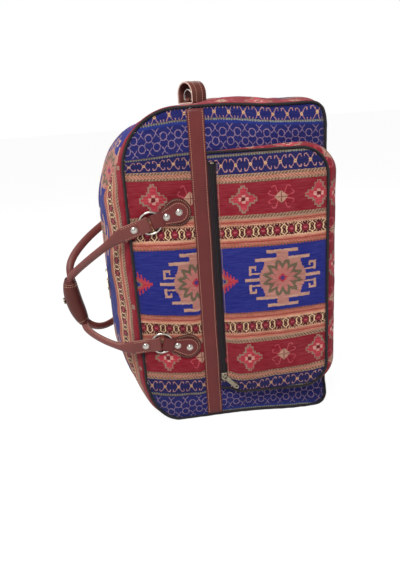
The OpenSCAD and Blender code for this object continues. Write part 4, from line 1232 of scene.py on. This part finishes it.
def zip_coil(name, at, low, high, out, width, height):
    """Two interlocked rows of coil turns."""
    lines = []
    for s, shift in ((-COIL_HALF, 0.0), (COIL_HALF, COIL_PITCH / 2)):
        z = np.arange(low + shift, high, COIL_PITCH)
        lines.append(at(np.full_like(z, s), z) + np.array(out))
    mesh = grown(line_mesh(lines), BEADS, Pitch=COIL_PITCH, Length=COIL_LONG, Width=width, Height=height,
                 Finish=ZIP_COIL)
    piece(f"{name}_turns", mesh, None, stands_for=[name])


COIL_START, COIL_END = COIL_FROM - TAPE_FROM + 0.004, ZIP_HALF - 0.003
zip_coil("pocket_zip_coil", pocket_tape_at, -COIL_END, COIL_END, -POCKET_IN * 0.0007,
         width=0.0016, height=0.0023)
zip_coil("main_zip_coil", main_coil_at, COIL_START, COIL_RIDGE - COIL_START, (0, 0, 0),
         width=0.0023, height=0.0016)


# Tabs, patches and rivets
def teardrop(u, start, half, centre, r):
    """Half width of a strap that widens into a round head."""
    reach = math.hypot(centre - start, half)
    lean = math.asin(r / reach) - math.atan2(half, centre - start)
    touch = start + math.sqrt(reach ** 2 - r ** 2) * math.cos(lean)
    taper = half + (u - start) * math.tan(lean)
    head = np.sqrt(np.maximum(r ** 2 - (u - centre) ** 2, 0.0))
    return np.maximum(np.where(u <= start, half, np.where(u < touch, taper, head)), 0.0004)


def mount_frame(side, face, tilt, way):
    """Middle of a ring on the panel, with the ways along a strap, across it and outward."""
    along = way * np.array((math.cos(tilt), 0, side * math.sin(tilt)))
    across = np.array((-along[2], 0, along[0]))
    return np.array((RING_X, -FRONT_Y * face, RING_Z[side])), along, across, np.array((0.0, face, 0.0))


def tab_frame(side, face):
    return mount_frame(side, face, TAB_TILT, 1)


def end_frame(side, face):
    return mount_frame(side, face, END_TILT[side], -1)


def sine_steps(start, tip, steps):
    """Places that crowd together toward the tip."""
    return start + (tip - start) * np.sin(np.linspace(0, math.pi / 2, steps))


def fold_line(tip):
    """Middle line of a strap folded round the ring: under leaf, eye, upper leaf. Along and outward."""
    eye, far = 0.0052, 0.01805
    r = 0.00215 + LEAF / 2
    under = RING_OUT - LEAF / 2
    head = tip - (tip - FOLD_JOIN) * np.sin(np.linspace(0, math.pi / 2, 26))
    back = np.stack([head, np.full_like(head, under)], 1)
    slope = np.linspace(0, 1, 6)[1:]
    down = np.stack([FOLD_JOIN + (far - FOLD_JOIN) * slope, under + (RING_OUT - r - under) * ease(slope)], 1)
    flat = np.stack([np.linspace(far, eye, 7)[1:], np.full(6, RING_OUT - r)], 1)
    turn = np.linspace(0, math.pi, 11)[1:]
    bend = np.stack([eye - r * np.sin(turn), RING_OUT - r * np.cos(turn)], 1)
    low = np.concatenate([back, down, flat])
    high = low[::-1].copy()
    high[:, 1] = 2 * RING_OUT - high[:, 1]
    return np.concatenate([low, bend, high[1:]])


def facing_of(line):
    """The way to the right of a line, at each of its points."""
    way = unit(np.gradient(line, axis=0))
    return np.stack([way[:, 1], -way[:, 0]], 1)


def folded(frame_of, side, face, tip, half_of):
    origin, along, across, outward = frame_of(side, face)
    line = fold_line(tip)
    facing = facing_of(line)
    spots = origin + line[:, :1] * along + line[:, 1:] * outward
    out = -(facing[:, :1] * along + facing[:, 1:] * outward)
    return strap(spots, across, out, half_of(line[:, 0]), LEAF / 2, crown=0.0001, dip=0.0002)


def tab(name, side, face):
    origin, along, across, outward = tab_frame(side, face)
    narrow = functools.partial(teardrop, start=FOLD_JOIN, half=STRAP_HALF, centre=0.047, r=0.017)
    wide = functools.partial(teardrop, start=PATCH_START, half=0.013, centre=0.046, r=0.022)
    piece(f"{name}_tab_strap", folded(tab_frame, side, face, TAB_TIP, narrow), BROWN_LEATHER,
          stands_for=[f"{name}_tab"])
    u = sine_steps(PATCH_START, PATCH_TIP, 40)
    patch = strap(origin + u[:, None] * along + PATCH_LIFT * outward, across, outward, wide(u), PATCH_THICK)
    piece(f"{name}_patch_leather", patch, PATCH_LEATHER, stands_for=[f"{name}_patch"])
    for lift, edge, start, tip, half_of in (
        (STRAP_TOP + 0.00012, STITCH_IN, 0.024, TAB_TIP, narrow), (0.0026, 0.0022, 0.026, PATCH_TIP, wide),
    ):
        t = sine_steps(start, tip - edge, 40)
        v = np.maximum(half_of(t + edge * np.clip((t - 0.045) / 0.02, 0, 1)) - edge, 0.0)
        ring = np.concatenate([np.stack([t, v], 1), np.stack([t[::-1], -v[::-1]], 1)[1:]])
        sew(origin + ring[:, :1] * along + ring[:, 1:] * across + lift * outward)


def rivet_pattern():
    """A domed rivet head on a thin rolled rim, standing on its base."""
    dome = [(0.0046 * math.sin(t), 0.0004 + 0.0026 * math.cos(t)) for t in np.radians(np.linspace(12, 80, 7))]
    rim = [(0.0049, 0.0008), (0.0053, 0.0007), (0.0055, 0.0004), (0.0053, 0.0)]
    turns = ring_turns(24)
    mesh = bpy.data.meshes.new("rivet")
    with reshaped(mesh) as shape:
        top = shape.verts.new((0, 0, 0.0030))
        rings = []
        for r, h in dome + rim:
            rings.append([shape.verts.new((r * math.cos(t), r * math.sin(t), h)) for t in turns])
        foot = shape.verts.new((0, 0, 0))
        for k in range(len(turns)):
            n = (k + 1) % len(turns)
            shape.faces.new([top, rings[0][k], rings[0][n]])
            for a, b in zip(rings, rings[1:]):
                shape.faces.new([a[k], b[k], b[n], a[n]])
            shape.faces.new([rings[-1][k], foot, rings[-1][n]])
        bmesh.ops.recalc_face_normals(shape, faces=shape.faces)
    mesh.shade_smooth()
    return placed("rivet_pattern", mesh)


RIVET = rivet_pattern()


def rivets(name, face, frame_of, places):
    spots = []
    for side in (1, -1):
        origin, along, _, outward = frame_of(side, face)
        spots += [origin + u * along + (STRAP_TOP + 0.00005) * outward for u in places]
    mesh = bpy.data.meshes.new("points")
    mesh.from_pydata([tuple(p) for p in spots], [], [])
    heads = grown(mesh, RIVETING, Pattern=RIVET, Turn=(-face * math.pi / 2, 0.0, 0.0), Finish=NICKEL)
    piece(f"{name}_heads", heads, None, stands_for=[name])


for face_name, face in FACES:
    tab(f"{face_name}_upper", 1, face)
    tab(f"{face_name}_lower", -1, face)
    rivets(f"{face_name}_tab_rivets", face, tab_frame, TAB_RIVETS)
    rivets(f"{face_name}_handle_rivets", face, end_frame, END_RIVETS)
bpy.data.objects.remove(RIVET)


# Handles and their wrap
def end_point(side, u):
    origin, along, _, outward = end_frame(side, -1)
    return origin + u * along + RING_OUT * outward


def finer(path):
    """Twice as many points, on a smooth line through those of the path."""
    a = np.concatenate([2 * path[:1] - path[1:2], path, 2 * path[-1:] - path[-2:-1]])
    middle = (9 * (a[1:-2] + a[2:-1]) - a[:-3] - a[3:]) / 16
    return np.concatenate([np.stack([path[:-1], middle], 1).reshape(-1, 3), path[-1:]])


def handle_path(face):
    start, pull, clear = 0.042, 0.066, 0.004
    top, low = GRIP_TOP - clear * unit(TOP_LEAN), GRIP_LOW - clear * unit(LOW_LEAN)
    upper = bezier(end_point(1, start), end_point(1, pull), top + UPPER_SWING[face], top, 19)
    drooped = end_point(-1, pull) - 0.006 * UP
    lower = bezier(low, low + LOWER_SWING[face], drooped, end_point(-1, start), 19)
    path = np.concatenate([upper, bezier(*GRIP_LINE, 11), lower])
    for _ in range(2):
        path[1:-1] = (path[:-2] + 2 * path[1:-1] + path[2:]) / 4
    return finer(path)


def angle_from(turn, mark):
    return np.abs((turn - mark + math.pi) % (2 * math.pi) - math.pi)


def handle(name, face):
    """A strap folded round both rings and rolled into a cord between them, its edges sewn together."""
    path = handle_path(face)
    n, sides = len(path), 28
    way = unit(np.gradient(path, axis=0))
    front = np.array((0.0, -1.0, 0.0))
    out = unit(front - way * (way @ front)[:, None])
    across = np.cross(way, out)
    step = np.minimum(np.arange(n), n - 1 - np.arange(n))
    roll_steps, hug_from, flat_thick = 14, 23, 0.0017
    roll, hug = ease(step / roll_steps), ease((step - hug_from) / roll_steps)
    leg_wide, leg_thick = (0.0064, 0.0050) if face < 0 else (0.0072, 0.0038)
    wide = STRAP_HALF + (leg_wide - STRAP_HALF) * roll + (HANDLE_R - leg_wide) * hug
    thick = flat_thick + (leg_thick - flat_thick) * roll + (HANDLE_R - leg_thick) * hug
    square = (0.55 + 0.45 * roll)[:, None]

    def section(turn, groove=1.0):
        c, s = np.cos(turn)[None], np.sin(turn)[None]
        c, s = np.sign(c) * np.abs(c) ** square, np.sign(s) * np.abs(s) ** square
        return path[:, None] + (across[:, None] * (wide[:, None] * c * groove)[..., None]
                                + out[:, None] * (thick[:, None] * s * groove)[..., None])

    turn, seam_at = ring_turns(sides), math.radians(140)
    gap = angle_from(turn, seam_at)
    points = section(turn, 1 - 0.16 * roll[:, None] * np.exp(-(gap / 0.16) ** 2)[None])
    uv = paired(np.linspace(0, 0.04, sides + 1)[None], lengths(path)[:, None])
    # rim marks the sewn edges, where the handle leather lays its pale edge colour: the raw cut edge and a
    # painted highlight.
    rim = np.exp(-(gap / 0.13) ** 2)[None] * roll[:, None]
    flip = np.array((1.0, -float(face), 1.0))
    meshes = [face_outward(quads(points * flip, uv, around=True, caps=True, values=rim))]
    for side in (1, -1):
        meshes.append(folded(end_frame, side, face, END_TIP, lambda u: np.full_like(u, STRAP_HALF)))
    piece(f"{name}_roll", joined(meshes), HANDLE_LEATHER, stands_for=[name])
    line = section(np.array([seam_at + 0.34]))[:, 0]
    leg = slice(8, 36)
    sew(line[leg] * flip)
    sew(line[::-1][leg] * flip)
    t = np.linspace(0.0215, 0.045, 14)[:, None]
    for side in (1, -1):
        origin, along, over, outward = end_frame(side, face)
        for v in (STITCH_IN - STRAP_HALF, STRAP_HALF - STITCH_IN):
            sew(origin + t * along + v * over + (STRAP_TOP + 0.0001) * outward)


def grip_wrap():
    """The padded leather wrap that closes round both handles: barrel shaped, its ends rolled in."""
    steps, sides = 44, 44
    last = steps - 1
    t, turn = np.linspace(0, 1, steps), ring_turns(sides)
    centre = bezier(*(p * (1, 0, 1) for p in GRIP_LINE), steps)
    over = np.array((0.0, 1.0, 0.0))
    out = np.cross(over, unit(np.gradient(centre, axis=0)))
    barrel = 1 - 0.14 * (2 * t - 1) ** 2
    slim = 1 - 0.38 * np.abs(2 * t - 1) ** 2.6
    press = 1 - 0.035 * (np.exp(-((t - 0.055) / 0.012) ** 2) + np.exp(-((t - 0.945) / 0.012) ** 2))
    press[0] = press[last] = 1.0
    belly = np.where(np.cos(turn) * np.sign(out[0, 0]) > 0, 0.76, 1.0)
    bore_x, bore_y = 0.0082, 0.0128

    def ring(i, x, y):
        return centre[i] + out[i] * (x * belly * np.cos(turn))[:, None] + over * (y * np.sin(turn))[:, None]

    def lip(i):
        return [ring(i, bore_x, bore_y), ring(i, bore_x + 0.0008, bore_y + 0.0008)]

    def body(i, x, y):
        return ring(i, x * slim[i] * press[i], y * barrel[i] * press[i])

    skin = [body(i, 0.0166, 0.0176) for i in range(1, last)]
    inner = []
    for i in range(last - 1, 0, -4):
        inner.append(ring(i, bore_x * slim[i] / slim[0], bore_y * barrel[i] / barrel[0]))
    ends = [body(i, 0.0160, 0.0170) for i in (0, last)]
    rows = [*lip(0), ends[0], *skin, ends[1], *lip(last)[::-1], *inner]
    points = np.array(rows + rows[:1])
    lap = 0.05 * np.exp(-(angle_from(turn, math.radians(250)) / 0.07) ** 2)
    outside = slice(3, 3 + len(skin))
    points[outside] -= (points[outside] - centre[1:-1, None]) * lap[None, :, None]
    uv = paired(np.linspace(0, 0.1, sides + 1)[None], lengths(points[:, 0])[:, None])
    edge = np.zeros(points.shape[:2])
    edge[:2] = edge[-len(inner) - 3:] = 0.8
    mesh = face_outward(welded(quads(points, uv, around=True, values=edge)))
    piece("grip_wrap_leather", mesh, WRAP_LEATHER, stands_for=["grip_wrap"])
    for share in (0.10, 0.15, 0.93):
        loop = body(int(round(share * last)), 0.0168, 0.0178)
        sew(np.concatenate([loop, loop[:1]]))


for face_name, face in FACES:
    handle(f"{face_name}_handle", face)
grip_wrap()


# Loop on the upper end
def end_loop():
    lift, bend = 0.0012, 0.0022
    turn = np.linspace(0, math.pi, 30)
    spring = LOOP_TOP - LOOP_HALF
    arch = np.stack([LOOP_HALF * np.cos(turn), spring + LOOP_HALF * np.sin(turn)], 1)
    post = np.linspace(bend, spring, 12)[:-1]
    right = np.stack([np.full_like(post, LOOP_HALF), post], 1)
    foot = np.linspace(0, LOOP_HALF - bend, 8)
    base = np.stack([foot, np.full_like(foot, lift)], 1)
    line = np.concatenate([base, right, arch, right[::-1] * (-1, 1), base[::-1] * (-1, 1)])
    facing = facing_of(line)
    spots = LOOP_AT + line[:, :1] * LOOP_SPAN + line[:, 1:] * UP
    out = facing[:, :1] * LOOP_SPAN + facing[:, 1:] * UP
    mesh = strap(spots, LOOP_WAY, out, LOOP_WIDE, LOOP_THICK, crown=0.0002, dip=0.0002)
    piece("end_loop_strap", mesh, LOOP_LEATHER, stands_for=["end_loop"])
    part = slice(len(base) + 1, len(line) - len(base) - 1)
    for v in (-0.0060, 0.0060):
        sew((spots + LOOP_WAY * v + out * 0.0016)[part])


end_loop()


# Fittings kept from the solids: the cast ones and the keeper with their edges rounded, the rings and the
# board with new finishes only
def softened(node, body, finish, width=0.00022):
    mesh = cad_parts[node].data.copy()
    with reshaped(mesh) as shape:
        bmesh.ops.remove_doubles(shape, verts=shape.verts, dist=1e-6)
        bmesh.ops.dissolve_limit(shape, angle_limit=math.radians(1.5), verts=shape.verts, edges=shape.edges)
    for layer in list(mesh.uv_layers):
        mesh.uv_layers.remove(layer)
    mesh.shade_smooth()
    made = piece(f"{node}_cast", mesh, finish, body, [node])
    round_over = made.modifiers.new("rounded_edges", "BEVEL")
    round_over.width, round_over.segments = width, 2
    round_over.limit_method, round_over.angle_limit = "ANGLE", math.radians(35)
    round_over.harden_normals = True


for spot in ("pocket", "upper_main", "lower_main"):
    for part in ("slider", "pull"):
        softened(f"{spot}_{part}", f"{spot}_{part}", OLD_BRASS)
for spot in ("pocket", "main"):
    softened(f"{spot}_zip_stops", "bag", OLD_BRASS)
softened("wrap_snap", "bag", OLD_BRASS, width=0.0005)
softened("ring_keeper", "bag", LOOP_LEATHER, width=0.0003)


def recoat(node, finish):
    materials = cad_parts[node].data.materials
    materials.clear()
    materials.append(finish)


for node in ("front_upper_ring", "front_lower_ring", "back_upper_ring", "back_lower_ring", "end_ring"):
    recoat(node, NICKEL)
recoat("base_board", BOARD)

# Stitches, all in one thread
stitches = grown(line_mesh(STITCH_LINES), BEADS, Pitch=0.0034, Length=0.0025, Width=0.00075, Height=0.00075,
                 Finish=TAN_THREAD)
piece("stitches", stitches, None)

# Floor, light and camera
FLOOR_REACH, FLOOR_GLOW, FLOOR_SHARE = 12.0, 1.16, 0.8
WORLD_LEVEL = 0.35
PHOTO_TALL, PHOTO_FOCAL, SENSOR = 570.0, 536.0, 36.0
CAMERA_AT, CAMERA_TURNS = (-0.147, -0.930, 0.5385), (-6.4, 19.03, -4.06)


def seen_by(tree, *rays):
    """1 for any of these kinds of ray."""
    path = tree.nodes.new("ShaderNodeLightPath")
    return functools.reduce(operator.or_, [Gauge(tree, path.outputs[f"Is {ray} Ray"]) for ray in rays])


def pale_floor():
    finish = bpy.data.materials.new("pale_floor")
    finish.use_nodes = True
    tree = finish.node_tree
    tree.nodes.clear()
    matt = add(tree, "ShaderNodeBsdfDiffuse", Color=(0.6, 0.6, 0.6, 1))
    glow = add(tree, "ShaderNodeEmission", Strength=FLOOR_GLOW)
    mix = tree.nodes.new("ShaderNodeMixShader")
    seen = seen_by(tree, "Camera", "Glossy", "Transmission") * FLOOR_SHARE
    for slot, value in zip(mix.inputs, (seen, matt.outputs[0], glow.outputs[0])):
        feed(tree, value, slot)
    add(tree, "ShaderNodeOutputMaterial", Surface=mix.outputs[0])
    mesh = bpy.data.meshes.new("floor")
    r = FLOOR_REACH
    mesh.from_pydata([(-r, -r, 0), (r, -r, 0), (r, r, 0), (-r, r, 0)], [], [(0, 1, 2, 3)])
    mesh.materials.append(finish)
    placed("floor", mesh)


def pale_world():
    world = bpy.data.worlds.new("studio")
    bpy.context.scene.world = world
    world.use_nodes = True
    tree = world.node_tree
    tree.nodes.clear()
    strength = seen_by(tree, "Camera", "Transmission") * (1.0 - WORLD_LEVEL) + WORLD_LEVEL
    sky = add(tree, "ShaderNodeBackground", Color=(1, 1, 1, 1), Strength=strength)
    add(tree, "ShaderNodeOutputWorld", Surface=sky.outputs[0])


def soft_light(name, place, aim, size, power):
    lamp = bpy.data.lights.new(name, "AREA")
    lamp.shape, lamp.size, lamp.energy = "DISK", size, power
    made = placed(name, lamp)
    made.location = place
    made.rotation_euler = (Vector(aim) - Vector(place)).to_track_quat("-Z", "Y").to_euler()


def photo_camera():
    azimuth, elevation, roll = (math.radians(d) for d in CAMERA_TURNS)
    back = Vector((math.sin(azimuth) * math.cos(elevation), -math.cos(azimuth) * math.cos(elevation),
                   math.sin(elevation)))
    right = Vector((math.cos(azimuth), math.sin(azimuth), 0))
    up = back.cross(right)
    side = math.cos(roll) * right + math.sin(roll) * up
    top = -math.sin(roll) * right + math.cos(roll) * up
    lens = bpy.data.cameras.new("photo")
    lens.sensor_fit = "VERTICAL"
    lens.sensor_height = SENSOR
    lens.lens = SENSOR * PHOTO_FOCAL / PHOTO_TALL
    lens.clip_start = 0.05
    made = placed("photo", lens)
    made.matrix_world = Matrix.Translation(CAMERA_AT) @ Matrix((side, top, back)).transposed().to_4x4()
    bpy.context.scene.camera = made


pale_floor()
pale_world()
soft_light("window", (-0.5, -1.15, 1.8), aim=(-0.03, 0, 0.40), size=0.9, power=30)
soft_light("fill", (1.6, -1.3, 1.0), aim=(0.0, 0, 0.26), size=1.4, power=5)
soft_light("left", (-1.7, 0.1, 1.3), aim=(-0.1, 0, 0.3), size=1.0, power=10)
soft_light("rear", (0.4, 1.7, 1.7), aim=(0.0, 0, 0.3), size=1.2, power=10)
photo_camera()
bpy.context.scene.view_settings.view_transform = "Standard"
